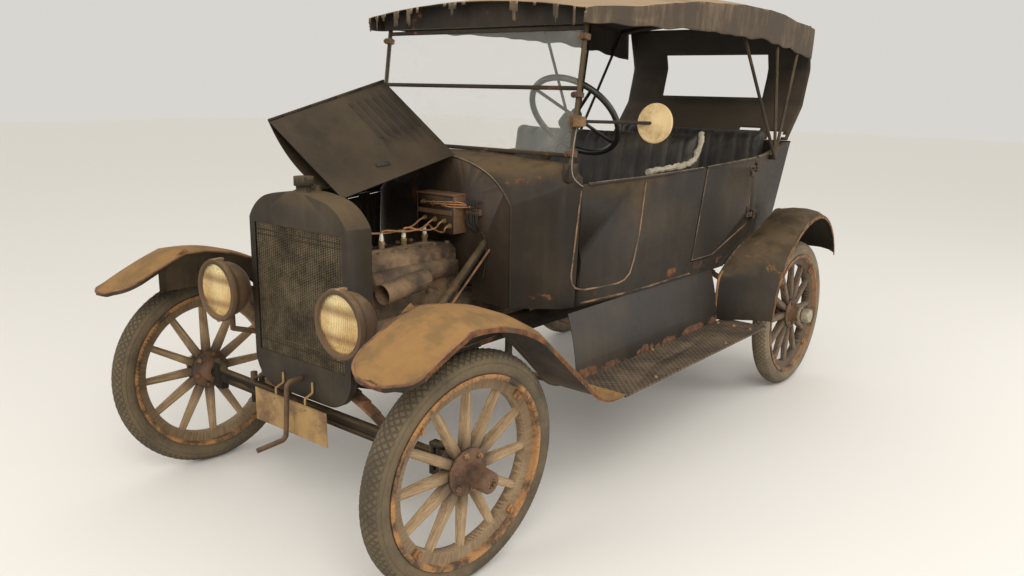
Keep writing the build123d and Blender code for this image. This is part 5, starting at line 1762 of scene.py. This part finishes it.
@dataclass
class FenderTrim:
    """Beads round the fenders, bolts and the rusty joint with the splash apron."""

    shop: Workshop
    bead: float = 0.0042
    widest: float = 0.8375
    foremost: float = field(init=False)

    def inside(self, point: Point) -> Point:
        """A bead's point, drawn in so that the bead stays within the fender's own width."""
        x = math.copysign(min(abs(point[0]), self.widest - self.bead), point[0])
        return (x, max(point[1], self.foremost + self.bead), point[2] - 0.0008)

    @staticmethod
    def on_rim(middle: Vector, first: Vector, second: Vector) -> bool:
        """Whether an edge lies between a fender's top and its lip."""
        rim = first.z > 0.25 and abs(second.z) < 0.35 and second.y < 0.97
        return rim and middle.z > 0.47 and first.angle(second) > 0.7

    def build(self) -> None:
        """Builds the trim of both pairs."""
        self.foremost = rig.box("fenders_front")[0][1]
        for node, finish in (("fenders_front", "bead_rust"), ("fenders_rear", "bead_dark")):
            lines = self.shop.edges(node, self.on_rim)
            lines = [[self.inside(point) for point in line] for line in lines]
            LOG.info("%s has %d rim lines of %s points", node, len(lines), [len(line) for line in lines])
            tubes(node + "_bead", lines, self.bead, "chassis", self.shop.finish(finish), "black_paint",
                  exact=True)
        self.bolts()
        self.tabs()
        self.joint_flange()

    def bolts(self) -> None:
        """Round heads on the fenders and boards."""
        former = Former("fender_bolts")
        for side in (-1, 1):
            for x, y in ((0.640, -0.565), (0.720, -0.565), (0.800, -0.565), (0.640, 0.585), (0.720, 0.585),
                         (0.800, 0.585), (0.625, 0.0), (0.815, 0.30), (0.815, -0.30)):
                former.rod((side * x, y, 0.4475), (side * x, y, 0.4550), 0.0085, 0.0050, sides=14)
        former.place("chassis", self.shop.finish("rim_iron"), "rusty_iron")

    def tabs(self) -> None:
        """A small three-cornered bracket end that stands above the front fender's inner edge."""
        former = Former("fender_tabs")
        for side in (-1, 1):
            x = side * 0.6045
            place, _ = self.shop.surface("fenders_front", (x, -1.395, 1.1), (0, 0, -1))
            z = place.z
            former.plate([(x, -1.424, z - 0.001), (x, -1.364, z - 0.001), (x, -1.389, z + 0.020)],
                         (side * 0.003, 0, 0))
        former.place("chassis", self.shop.finish("rim_iron"), "rusty_iron", smooth=False)

    def joint_flange(self) -> None:
        """The folded, rusty joint between splash apron and rear fender."""
        lines = []
        for side in (-1, 1):
            line = []
            for index in range(12):
                z = 0.462 + 0.020 * index
                place, _ = self.shop.surface("fenders_rear", (side * 0.606, 0.30, z), (0, 1, 0))
                line.append((side * 0.606, place.y - 0.004, z))
            lines.append(line)
        tubes("apron_joint", lines, 0.006, "chassis", self.shop.finish("rim_iron"), "rusty_iron", exact=True)


@dataclass
class BodyTrim:
    """Belt mouldings, door beads, hinges, and the false front door's outline."""

    shop: Workshop
    rail: float = 0.0060
    bead: float = 0.0028
    false_bead: float = 0.0034
    door_gap: float = 0.030
    shortest: float = 0.060
    hinge_y: float = 0.926
    hinge_half: float = 0.021
    sill_z: float = 0.712
    corner_y: float = 1.20

    def build(self) -> None:
        """Builds the trim."""
        for node in ("body_left", "body_right", "body_back", *DOORS):
            lines = self.shop.edges(node, self.on_rail, fewest=2)
            lines = [line for line in lines if (Vector(line[0]) - Vector(line[-1])).length > self.shortest]
            LOG.info("%s has %d rail lines of %s points", node, len(lines), [len(line) for line in lines])
            if lines:
                if node in ("body_left", "body_right"):
                    lines = [line for line in map(self.short_of_doors, lines) if line]
                lines = [[(x * 0.9985, y, z) for x, y, z in line] for line in lines]
                tubes(node + "_rail", lines, self.rail, self.shop.body_of(node),
                      self.shop.finish("rail_paint"), "black_paint", exact=True)
        self.cowl_bead()
        self.false_door()
        self.door_beads()
        self.hinges()
        self.sill_rust()

    def short_of_doors(self, line: list[Point]) -> list[Point]:
        """Ends a body rail before the doors that swing past it; nothing is left of a shorter one.

        Args:
            line: The rail's points, in order.

        Returns:
            The points that are left.
        """
        for end in (0, -1):
            tip = Vector(line[end])
            if tip.y < self.corner_y:
                kept = [point for point in line if (Vector(point) - tip).length > self.door_gap]
                if not kept:
                    return []
                start = tuple(tip + (Vector(kept[end]) - tip).normalized() * self.door_gap)
                line = [start] + kept if end == 0 else kept + [start]
        return line

    @staticmethod
    def on_rail(middle: Vector, first: Vector, second: Vector) -> bool:
        """Whether an edge lies on the outer top corner of the body."""
        outward = second.x * middle.x > 0.2 if abs(middle.x) > 0.5 and middle.y < 1.26 else second.y > 0.4
        return first.z > 0.8 and abs(second.z) < 0.3 and outward and middle.z > 1.12

    def cowl_bead(self) -> None:
        """The raised bead round the cowl's front arch."""
        lines = self.shop.edges("cowl", lambda middle, first, second: first.y < -0.9 and abs(second.y) < 0.85
                                and middle.y < -0.625 and (second.x * middle.x > 0.02 or second.z > 0.3))
        tubes("cowl_bead", [[(x, y + 0.004, z) for x, y, z in line] for line in lines], 0.0042, "chassis",
              self.shop.finish("rail_paint"), "black_paint", exact=True)

    def on_side(self, y: float, z: float, lift: float) -> Point:
        """A point a little above the left side's surface, on the cowl or the panel behind it.

        Args:
            y: The place along the car.
            z: The height.
            lift: How far above the surface.

        Returns:
            The point.
        """
        hits = []
        for node in ("cowl", "body_left"):
            try:
                hits.append(self.shop.surface(node, (0.9, y, z), (-1, 0, 0)))
            except ValueError:
                LOG.debug("%s is not at %s, %s", node, y, z)
        place, normal = max(hits, key=lambda hit: hit[0].x)
        return tuple(place + normal * lift)

    def false_door(self) -> None:
        """The pressed outline of a front door that doesn't open, on the driver's side."""
        corners = ((-0.4525, 1.150), (-0.458, 1.050), (-0.464, 0.930), (-0.470, 0.830), (-0.465, 0.796),
                   (-0.452, 0.778), (-0.422, 0.768), (-0.400, 0.764), (-0.300, 0.760), (-0.200, 0.760),
                   (-0.160, 0.768), (-0.128, 0.792),
                   (-0.108, 0.850), (-0.086, 0.960), (-0.078, 1.060), (-0.072, 1.165))
        line = [self.on_side(y, z, 0.0004) for y, z in corners]
        tubes("false_door_bead", [line], self.false_bead, "chassis", self.shop.finish("bead_worn"),
              "black_paint", exact=True)

    @staticmethod
    def on_door_edge(middle: Vector, first: Vector, second: Vector) -> bool:
        """Whether an edge bounds a door's outer face below the rail."""
        return first.x * middle.x > 0.85 * abs(middle.x) and abs(second.x) < 0.4 and middle.z < 1.17

    def door_beads(self) -> None:
        """A fine bead round each door, set in from its edge."""
        for node in DOORS:
            lines = self.shop.edges(node, self.on_door_edge, fewest=3)
            inset = []
            low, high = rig.box(node)
            middle = (Vector(low) + Vector(high)) / 2
            for line in lines:
                inset.append([(x, y + math.copysign(0.008, middle.y - y),
                               z + math.copysign(0.0036, middle.z - z)) for x, y, z in line])
            if inset:
                tubes(node + "_bead", inset, self.bead, self.shop.body_of(node),
                      self.shop.finish("bead_worn"), "black_paint", exact=True)

    def hinges(self) -> None:
        """Two strap hinges on each rear door."""
        for side, node in ((1, "door_rear_left"), (-1, "door_rear_right")):
            former = Former(node + "_hinges")
            for z in (1.135, 0.945):
                place, _ = self.shop.surface(node, (side * 0.9, self.hinge_y + 0.009, z), (-side, 0, 0))
                inner, outer = sorted((place.x - side * 0.002, place.x + side * 0.007))
                former.block((inner, self.hinge_y - 0.012, z - self.hinge_half),
                             (outer, self.hinge_y + 0.024, z + self.hinge_half), 0.0025)
                for offset in (-0.012, 0.012):
                    former.rod((place.x + side * 0.006, self.hinge_y, z + offset),
                               (place.x + side * 0.009, self.hinge_y, z + offset), 0.0042, 0.0034, sides=12)
            former.place(self.shop.body_of(node), self.shop.finish("hinge_black"), "chassis_black")

    def sill_rust(self) -> None:
        """Flaking edge where the body meets the aprons."""
        lines = []
        for side in (-1, 1):
            line = []
            for index in range(10):
                y = -0.420 + 0.088 * index
                node = "body_left" if side > 0 else "body_right"
                place, _ = self.shop.surface(node, (side * 0.9, y, self.sill_z + 0.010), (-side, 0, 0))
                line.append((place.x, y, self.sill_z + 0.002 * wobble(y, 0, side, 9.0)))
            lines.append(line)
        tubes("sill_edge", lines, 0.0045, "chassis", self.shop.finish("bead_dark"), "rusty_iron", exact=True)


@dataclass
class Windscreen:
    """The screen's clamps, the mirror's dished back and the loose wire on the near post."""

    shop: Workshop
    half_width: float = 0.512
    post: float = 0.0125
    clamp: float = 0.0205
    mirror: Point = (0.765, -0.325, 1.401)
    mirror_radius: float = 0.0665

    def on_post(self, side: int, z: float) -> Vector:
        """The middle of a post at a height.

        Args:
            side: 1 for the left post, -1 for the right.
            z: The height.

        Returns:
            The point.
        """
        x = side * self.half_width
        front, _ = self.shop.surface("windscreen_frame", (x, -0.8, z), (0, 1, 0))
        back, _ = self.shop.surface("windscreen_frame", (x, 0.1, z), (0, -1, 0))
        return (front + back) / 2

    def build(self) -> None:
        """Builds the fittings."""
        clamps = Former("screen_clamps")
        for side in (-1, 1):
            for z, height in ((1.285, 0.030), (1.400, 0.046), (1.495, 0.022), (1.700, 0.024)):
                middle = self.on_post(side, z)
                section = [(self.post, -height / 2), (self.clamp, -height / 2 + 0.003),
                           (self.clamp, height / 2 - 0.003), (self.post, height / 2)]
                clamps.ring(tuple(middle), (0, 0.15, 1), 0.0, section, 28)
                clamps.rod(tuple(middle + Vector((side * -0.004, -0.036, 0))),
                           tuple(middle + Vector((side * -0.004, -0.010, 0))), 0.0055, sides=8)
                clamps.rod(tuple(middle + Vector((side * -0.004, -0.030, 0))),
                           tuple(middle + Vector((side * -0.004, -0.022, 0))), 0.0115, sides=6)
        clamps.block((0.520, -0.490, 1.383), (0.552, -0.446, 1.419), 0.004)
        clamps.place("chassis", self.shop.finish("clamp_iron"), "rusty_iron")
        self.mirror_back()
        self.loose_wire()

    def mirror_back(self) -> None:
        """The round mirror's dished metal back with its rolled edge and centre boss."""
        turn = Matrix.Rotation(math.radians(84), 3, "X")
        axis = turn @ Vector((0, 0, 1))
        radius = self.mirror_radius
        former = Former("mirror_back")
        for side in (-1, 1):
            profile = [(0.0005, side * 0.0105), (0.012, side * 0.0105), (0.015, side * 0.0085),
                       (radius - 0.012, side * 0.0076), (radius, side * 0.0070), (radius, side * 0.0066),
                       (0.0005, side * 0.0066)]
            former.ring(self.mirror, tuple(axis), 0.0, profile, 64)
        former.hoop(self.mirror, tuple(axis), radius - 0.0010, 0.0062, 64)
        former.place("chassis", self.shop.finish("mirror_brass"), "core_metal")

    def loose_wire(self) -> None:
        """A bent bare wire that runs from the clamp down to the body's corner."""
        start = self.on_post(1, 1.383) + Vector((0.016, -0.010, 0))
        line = [tuple(start), (0.540, -0.500, 1.345), (0.538, -0.506, 1.290), (0.536, -0.510, 1.230),
                (0.544, -0.500, 1.190), (0.551, -0.4545, 1.166)]
        tubes("post_wire", [line], 0.0022, "chassis", self.shop.finish("steel"), "core_metal")


@dataclass
class BonnetTrim:
    """The recessed handle on the folded side."""

    shop: Workshop

    def build(self) -> None:
        """Builds the handle."""
        place, normal = self.shop.surface("bonnet_side_left", (0.235, -1.015, 1.475), (-0.63, 0.14, -0.76))
        long = Vector((0, 1, 0)) - normal * normal.y
        long.normalize()
        base = Matrix.Translation(place) @ Matrix((long, normal.cross(long), normal)).transposed().to_4x4()
        former = Former("bonnet_handle")
        former.block((-0.030, -0.008, -0.001), (0.030, 0.008, 0.006), 0.003, base)
        former.place("bonnet_side_left", self.shop.finish("hinge_black"), "chassis_black")


@dataclass
class RearAxleBolts:
    """The differential's joint and its bolts."""

    shop: Workshop
    centre: Point = (0.0, 1.270, 0.381)
    circle: float = 0.118
    count: int = 10

    def build(self) -> None:
        """Builds the joint ring and its bolts."""
        former = Former("axle_bolts")
        for index in range(self.count):
            turn = 2 * math.pi * (index + 0.5) / self.count
            y = self.centre[1] + self.circle * math.cos(turn)
            z = self.centre[2] + self.circle * math.sin(turn)
            former.rod((-0.013, y, z), (0.013, y, z), 0.0075, sides=6)
        section = [(0, -0.006), (0.014, -0.006), (0.014, 0.006), (0, 0.006)]
        former.ring(self.centre, (1, 0, 0), 0.112, section, 64)
        former.place("chassis", self.shop.finish("chassis"), "chassis_black")


# The folding top's cloth

@dataclass(frozen=True)
class RoofStation:
    """The top's section at one place along the car, in metres."""

    y: float
    half_width: float
    edge_z: float
    crown_z: float
    skirt: float


ROOF_STATIONS = (
    RoofStation(-0.500, 0.560, 1.795, 1.838, 0.050),
    RoofStation(0.300, 0.594, 1.888, 1.955, 0.125),
    RoofStation(1.000, 0.596, 1.903, 1.965, 0.145),
    RoofStation(1.640, 0.578, 1.848, 1.895, 0.155),
)


def roof_station(y: float) -> RoofStation:
    """The section at any place along the roof.

    Args:
        y: The place along the car, in metres.

    Returns:
        The roof's section there.
    """
    for near, far in zip(ROOF_STATIONS, ROOF_STATIONS[1:]):
        if y <= far.y:
            break
    share = (y - near.y) / (far.y - near.y)
    blend = [a + (b - a) * share for a, b in zip(
        (near.half_width, near.edge_z, near.crown_z, near.skirt),
        (far.half_width, far.edge_z, far.crown_z, far.skirt))]
    return RoofStation(y, *blend)


def wobble(x: float, y: float, z: float, scale: float) -> float:
    """Smooth noise from -1 to 1 at a place."""
    return noise.noise(Vector((x, y, z)) * scale)


@dataclass
class ClothTop:
    """The worn cloth of the folding top: the roof with its hanging sides, and the back curtain."""

    shop: Workshop
    bows: tuple[float, ...] = (-0.428, 0.720, 1.190, 1.531)
    thickness: float = 0.003
    tatter: float = 0.045
    front_y: float = -0.496
    back_y: float = 1.636
    fold: float = 0.84
    window_half: float = 0.28
    window_span: tuple[float, float] = (0.22, 0.58)

    def sag(self, y: float) -> float:
        """How far the cloth hangs between its bows, from 0 at a bow to 1 midway."""
        near = min(self.bows, key=lambda bow: abs(bow - y))
        return min(1.0, abs(near - y) / 0.30)

    def roof_point(self, across: float, along: float) -> Vector:
        """A point of the roof's cloth.

        Args:
            across: From -1 at the right hem to 1 at the left hem.
            along: From 0 at the front edge to 1 at the back.

        Returns:
            Its place.
        """
        jag = 0.016 * abs(wobble(across * 0.9, 3.0, 0.0, 5.0)) + 0.010 * abs(wobble(across, 0, 7.0, 19.0))
        front = self.front_y + jag
        y = front + (self.back_y - front) * max(0.0, along - self.tatter) / (1.0 - self.tatter)
        station = roof_station(y)
        share = min(abs(across) / self.fold, 1.0)
        x = station.half_width * math.sin(share * math.pi / 2) ** 0.92
        rise = station.crown_z - station.edge_z
        z = station.crown_z - rise * (x / station.half_width) ** 2
        hang = max(0.0, (abs(across) - self.fold) / (1.0 - self.fold))
        sag = self.sag(y)
        ripple = wobble(across * 2.0, y, 1.0, 4.5)
        z -= station.skirt * hang * (1.0 + 0.10 * wobble(0.0, y, 4.0, 8.0))
        z -= (0.010 + 0.008 * abs(ripple)) * sag * (1.0 - hang)
        torn = max(0.0, self.tatter - along) / self.tatter
        z -= torn * (0.070 + 0.030 * wobble(across * 3.0, 1.0, 2.0, 3.0))
        y += 0.010 * torn * wobble(across * 4.0, along, 6.0, 6.0)
        x -= hang * (0.004 + 0.010 * sag * abs(ripple))
        return Vector((math.copysign(x, across), y, z - 0.0015))

    def curtain_point(self, across: float, down: float) -> Vector:
        """A point of the back curtain, from the roof's end down to the body's rear rail.

        Args:
            across: From side to side.
            down: From the roof's end to the rail.

        Returns:
            The point.
        """
        path = ((1.634, 1.862), (1.693, 1.640), (1.634, 1.442), (1.474, 1.266))
        lengths = [math.dist(a, b) for a, b in zip(path, path[1:])]
        left = down * sum(lengths)
        for (start, end), length in zip(zip(path, path[1:]), lengths):
            if left <= length or end == path[-1]:
                share = left / length
                y, z = (a + (b - a) * share for a, b in zip(start, end))
                break
            left -= length
        ripple = wobble(across * 1.3, down, 9.0, 3.0)
        half_width = 0.560 - 0.012 * down
        return Vector((across * half_width, y - 0.006 - 0.010 * abs(ripple), z))

    def sheet(self, name: str, columns: int, rows: int, point: Callable[[float, float], Vector],
              gone: Callable[[float, float], bool], flat: tuple[float, float], area: float,
              rests_on: list[str]) -> bpy.types.Object:
        """A sheet of the cloth.

        Args:
            name: The piece's name.
            columns: Faces across.
            rows: Faces along.
            point: Gives the place of a spot (u, v), each from 0 to 1.
            gone: Tells whether the cloth is missing at (u, v).
            flat: The cut cloth's width and length.
            area: The cut cloth's area.
            rests_on: What it lies on.

        Returns:
            The piece.
        """
        mesh = bmesh.new()
        bmesh.ops.create_grid(mesh, x_segments=columns, y_segments=rows, size=0.5)
        spots = {vert: (vert.co.x + 0.5, vert.co.y + 0.5) for vert in mesh.verts}
        torn = [face for face in mesh.faces
                if gone(*[sum(spots[v][i] for v in face.verts) / len(face.verts) for i in (0, 1)])]
        bmesh.ops.delete(mesh, geom=torn, context="FACES")
        for vert in mesh.verts:
            vert.co = point(*spots[vert])
        data = bpy.data.meshes.new(name)
        mesh.to_mesh(data)
        mesh.free()
        obj = bpy.data.objects.new(name, data)
        bpy.context.scene.collection.objects.link(obj)
        wall = obj.modifiers.new("wall", "SOLIDIFY")
        wall.thickness = self.thickness
        wall.offset = 0.0
        dress(obj, "chassis", self.shop.finish("top_cloth"), "top_fabric")
        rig.sheet(obj, flat=flat, held="stretched", area=area, rests_on=rests_on)
        return obj

    def torn_front(self, u: float, v: float) -> bool:
        """Whether the roof's cloth is gone at (u, v): all but a few strips in front of the first bow.

        Args:
            u: Across the roof.
            v: Along it.

        Returns:
            True where it is gone.
        """
        if v > self.tatter:
            return False
        strip = wobble(u * 2.6, 5.0, 2.0, 16.0) + 0.5 * wobble(u, 1.0, 8.0, 31.0)
        reach = min(1.0, max(0.0, strip - 0.12) * 3.2) if 0.09 < u < 0.91 else 0.0
        return v < self.tatter * (1.0 - reach)

    def torn_curtain(self, u: float, v: float) -> bool:
        """Whether the curtain is gone at (u, v): its window, and holes along its foot.

        Args:
            u: Across the curtain.
            v: Down it.

        Returns:
            True where it is gone.
        """
        low, high = self.window_span
        window = abs(u - 0.5) < self.window_half and low < v < high
        return window or (v > 0.9 and wobble(u, v, 0.0, 7.0) > 0.25)

    def build(self) -> None:
        """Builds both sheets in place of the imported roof."""
        roof = self.sheet(
            "top_cloth_roof", 150, 132, lambda u, v: self.roof_point(u * 2 - 1, v), self.torn_front,
            (1.43, 2.16), 2.96, ["top_frame"])
        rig.replaces(roof, "top_roof")
        self.sheet(
            "top_cloth_curtain", 56, 36, lambda u, v: self.curtain_point(u * 2 - 1, v),
            self.torn_curtain,
            (1.12, 0.67), 0.62, ["top_frame", "body_back"])


# Seats

@dataclass
class Cushion:
    """A pleated, stuffed cushion that rests on the seat box or against the body."""

    shop: Workshop
    name: str
    profile: tuple[tuple[float, float], ...]
    half_width: float
    show: Point
    pleat: float
    depth: float = 0.008
    cap: float = 0.016
    floor_z: float = 0.9052
    voxel: float = 0.010
    quick_voxel: float = 0.016
    pressure: float = 4.0
    frames: int = 20

    def rough_form(self) -> bmesh.types.BMesh:
        """The cushion before it is stuffed: its side profile carried across the seat.

        Returns:
            The closed form.
        """
        mesh = bmesh.new()
        inset = 0.010
        verts = [mesh.verts.new((-self.half_width + inset, y, z)) for y, z in self.profile]
        face = mesh.faces.new(verts)
        made = bmesh.ops.extrude_face_region(mesh, geom=[face])
        moved = [item for item in made["geom"] if isinstance(item, bmesh.types.BMVert)]
        bmesh.ops.translate(mesh, verts=moved, vec=((self.half_width - inset) * 2, 0, 0))
        bmesh.ops.bevel(mesh, geom=list(mesh.edges), offset=0.018, segments=3, profile=0.5,
                        affect="EDGES", material=-1)
        bmesh.ops.recalc_face_normals(mesh, faces=mesh.faces)
        return mesh

    def stuff(self, obj: bpy.types.Object) -> None:
        """Swells the cushion by a short cloth simulation and keeps the result.

        Args:
            obj: The cushion's object.
        """
        remesh = obj.modifiers.new("remesh", "REMESH")
        remesh.mode = "VOXEL"
        remesh.voxel_size = self.quick_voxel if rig.quick() else self.voxel
        graph = bpy.context.evaluated_depsgraph_get()
        even = bpy.data.meshes.new_from_object(obj.evaluated_get(graph))
        obj.modifiers.clear()
        obj.data = even
        before = [vert.co.copy() for vert in even.vertices]
        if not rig.quick():
            cloth = obj.modifiers.new("stuffing", "CLOTH")
            cloth.settings.use_pressure = True
            cloth.settings.uniform_pressure_force = self.pressure
            cloth.settings.effector_weights.gravity = 0.0
            scene = bpy.context.scene
            for step in range(1, self.frames + 1):
                scene.frame_set(step)
            graph = bpy.context.evaluated_depsgraph_get()
            swollen = bpy.data.meshes.new_from_object(obj.evaluated_get(graph))
            for vert, start in zip(swollen.vertices, before):
                move = vert.co - start
                vert.co = start + move * min(1.0, self.cap / max(move.length, 1e-9))
            obj.modifiers.clear()
            obj.data = swollen
            scene.frame_set(1)

    def sew(self, mesh: bpy.types.Mesh) -> None:
        """Draws in the pleats and dimples, and keeps the cushion inside the room that it has.

        Args:
            mesh: The stuffed cushion's mesh.
        """
        show = Vector(self.show).normalized()
        moves = []
        for vert in mesh.vertices:
            facing = max(0.0, min(1.0, vert.normal.dot(show) * 1.6))
            seam = abs((vert.co.x / self.pleat + 0.5) % 1.0 - 0.5) * self.pleat
            groove = math.exp(-((seam / 0.011) ** 2))
            lumps = 0.35 * wobble(vert.co.x, vert.co.y, vert.co.z, 9.0)
            moves.append(vert.normal * (-self.depth * facing * groove + self.depth * 0.5 * lumps * facing))
        for vert, move in zip(mesh.vertices, moves):
            vert.co += move
            vert.co.x = max(-self.half_width, min(self.half_width, vert.co.x))
            vert.co.z = max(self.floor_z, vert.co.z)

    def build(self) -> bpy.types.Object:
        """Builds the cushion.

        Returns:
            The cushion's object.
        """
        mesh = self.rough_form()
        data = bpy.data.meshes.new(self.name)
        mesh.to_mesh(data)
        mesh.free()
        obj = bpy.data.objects.new(self.name, data)
        bpy.context.scene.collection.objects.link(obj)
        self.stuff(obj)
        self.sew(obj.data)
        obj.data.name = self.name
        dress(obj, "chassis", self.shop.finish("leather"), "seat_leather")
        obj.data.set_sharp_from_angle(angle=math.radians(180))
        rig.padded(obj, fill=0.6)
        return obj


@dataclass
class Seats:
    """Both seats: a cushion and a back each."""

    shop: Workshop

    def build(self) -> None:
        """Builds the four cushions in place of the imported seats."""
        for row, front, back, top, half in (("front", -0.060, 0.420, (0.520, 1.345), 0.546),
                                             ("rear", 0.880, 1.330, (1.415, 1.335), 0.460)):
            low, high = 0.9055, 1.018
            cushion = Cushion(self.shop, f"seat_{row}_cushion",
                              ((front + 0.008, low), (back - 0.004, low), (back - 0.004, high - 0.012),
                               (front + 0.012, high - 0.004)), half, (0, -0.3, 1), 0.078)
            rest = Cushion(self.shop, f"seat_{row}_back",
                           ((back + 0.006, low), (back + 0.070, low), (top[0] + 0.034, top[1] - 0.022),
                            (top[0], top[1] - 0.006), (top[0] - 0.040, top[1] - 0.024),
                            (back + 0.010, high + 0.050)), half, (0, -1, 0.2), 0.078)
            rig.replaces(cushion.build(), "seat_" + row)
            rest.build()
        self.stuffing()

    def stuffing(self) -> None:
        """Pale stuffing that shows along the front seat's torn left end."""
        lines = [[(0.530, 0.050, 1.186), (0.533, 0.150, 1.189), (0.536, 0.260, 1.192), (0.538, 0.370, 1.198),
                  (0.538, 0.445, 1.215), (0.536, 0.478, 1.262), (0.532, 0.506, 1.312), (0.524, 0.520, 1.330)]]
        tuft = tubes("seat_stuffing", lines, 0.013, "chassis", self.shop.finish("stuffing"), "seat_leather")
        for vert in tuft.data.vertices:
            lump = wobble(*vert.co, 38.0) * 0.006 + wobble(*vert.co, 90.0) * 0.003
            vert.co += vert.normal * lump
            vert.co.x = min(vert.co.x, 0.5475)
        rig.padded(tuft, fill=0.2)


# Camera, light and floor

@dataclass(frozen=True)
class Camera:
    """The photograph's view."""

    place: Point = (2.340, -3.068, 1.521)
    yaw: float = 38.98
    pitch: float = -13.26
    roll: float = -1.06
    lens: float = 30.1

    def build(self) -> None:
        """Adds the camera and makes it the scene's."""
        data = bpy.data.cameras.new("camera")
        data.lens = self.lens
        data.sensor_width = 36.0
        camera = bpy.data.objects.new("camera", data)
        bpy.context.scene.collection.objects.link(camera)
        place = Matrix.Translation(self.place)
        for degrees, axis in ((self.yaw, "Z"), (self.pitch, "X"), (self.roll, "Y"), (90.0, "X")):
            place = place @ Matrix.Rotation(math.radians(degrees), 4, axis)
        camera.matrix_world = place
        bpy.context.scene.camera = camera


@dataclass(frozen=True)
class SoftBox:
    """A large soft lamp aimed at a point."""

    name: str
    place: Point
    target: Point
    size: float
    watts: float
    tint: tuple[float, float, float] = (1.0, 0.97, 0.92)

    def build(self) -> None:
        """Adds the lamp."""
        data = bpy.data.lights.new(self.name, "AREA")
        data.size = self.size
        data.energy = self.watts
        data.color = self.tint
        lamp = bpy.data.objects.new(self.name, data)
        bpy.context.scene.collection.objects.link(lamp)
        aim = (Vector(self.target) - Vector(self.place)).to_track_quat("-Z", "Y")
        lamp.matrix_world = Matrix.Translation(self.place) @ aim.to_matrix().to_4x4()


@dataclass(frozen=True)
class Stage:
    """A plain pale floor that runs into a background of the same tone."""

    tone: Colour = rgb(0.78, 0.76, 0.72)
    fill: float = 0.88

    def floor(self) -> None:
        """Adds the floor."""
        mesh = bmesh.new()
        bmesh.ops.create_grid(mesh, x_segments=1, y_segments=1, size=30.0)
        data = bpy.data.meshes.new("floor_plane")
        mesh.to_mesh(data)
        mesh.free()
        floor = bpy.data.objects.new("floor_plane", data)
        bpy.context.scene.collection.objects.link(floor)
        floor.location.z = -0.001
        data.materials.append(Graph("floor_plain").finish(self.tone, 0.9))
        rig.stage(floor)

    def sky(self) -> None:
        """Sets the soft light from all round, and the background that the camera sees."""
        world = bpy.data.worlds.new("world")
        bpy.context.scene.world = world
        world.use_nodes = True
        tree = world.node_tree
        tree.nodes.clear()
        output = tree.nodes.new("ShaderNodeOutputWorld")
        lit = tree.nodes.new("ShaderNodeBackground")
        lit.inputs["Color"].default_value = rgb(1.0, 0.97, 0.92)
        lit.inputs["Strength"].default_value = self.fill
        seen = tree.nodes.new("ShaderNodeBackground")
        seen.inputs["Color"].default_value = self.tone
        seen.inputs["Strength"].default_value = self.fill
        ray = tree.nodes.new("ShaderNodeLightPath")
        mixer = tree.nodes.new("ShaderNodeMixShader")
        plain = ray.outputs["Is Camera Ray"]
        for kind in ("Is Glossy Ray", "Is Transmission Ray"):
            either = tree.nodes.new("ShaderNodeMath")
            either.operation = "MAXIMUM"
            tree.links.new(plain, either.inputs[0])
            tree.links.new(ray.outputs[kind], either.inputs[1])
            plain = either.outputs[0]
        tree.links.new(plain, mixer.inputs[0])
        tree.links.new(lit.outputs[0], mixer.inputs[1])
        tree.links.new(seen.outputs[0], mixer.inputs[2])
        tree.links.new(mixer.outputs[0], output.inputs["Surface"])

    def build(self) -> None:
        """Builds floor, background and lamps."""
        self.floor()
        self.sky()
        for lamp in (SoftBox("key", (4.4, -4.6, 5.2), (0, -0.2, 0.8), 3.6, 230.0),
                     SoftBox("front", (-1.5, -6.0, 3.6), (0, -1.0, 0.7), 3.0, 80.0),
                     SoftBox("side", (6.0, 2.6, 3.0), (0.4, 0.6, 0.9), 3.4, 130.0, (1.0, 0.98, 0.95))):
            lamp.build()


def write_sizes(solid_box: tuple, visual_box: tuple) -> None:
    """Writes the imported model's box and the visual model's box.

    Args:
        solid_box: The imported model's lowest and highest corners.
        visual_box: The visual model's.
    """
    boxes = {name: [[round(value, 6) for value in corner] for corner in box]
             for name, box in (("cad", solid_box), ("visual", visual_box))}
    with open(SIZE_FILE, "w", encoding="utf-8") as file:
        json.dump(boxes, file)
    LOG.info("boxes %s", boxes)


def main() -> None:
    """Builds the whole look."""
    logging.basicConfig(level=logging.INFO)
    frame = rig.load()
    solid_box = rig.bounds()
    bpy.context.scene.view_settings.view_transform = "Standard"
    shop = Workshop(frame)
    make_finishes(shop)
    dress_nodes(shop)
    for corner in Corner:
        TreadedTyre(shop, corner).build()
        WheelFittings(shop, corner).build()
    for assembly in (EngineBay, Lamps, Radiator, FenderTrim, BodyTrim, Windscreen, BonnetTrim, RearAxleBolts,
                     ClothTop, Seats):
        assembly(shop).build()
    Camera().build()
    Stage().build()
    write_sizes(solid_box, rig.bounds())


if __name__ == "__main__":
    main()
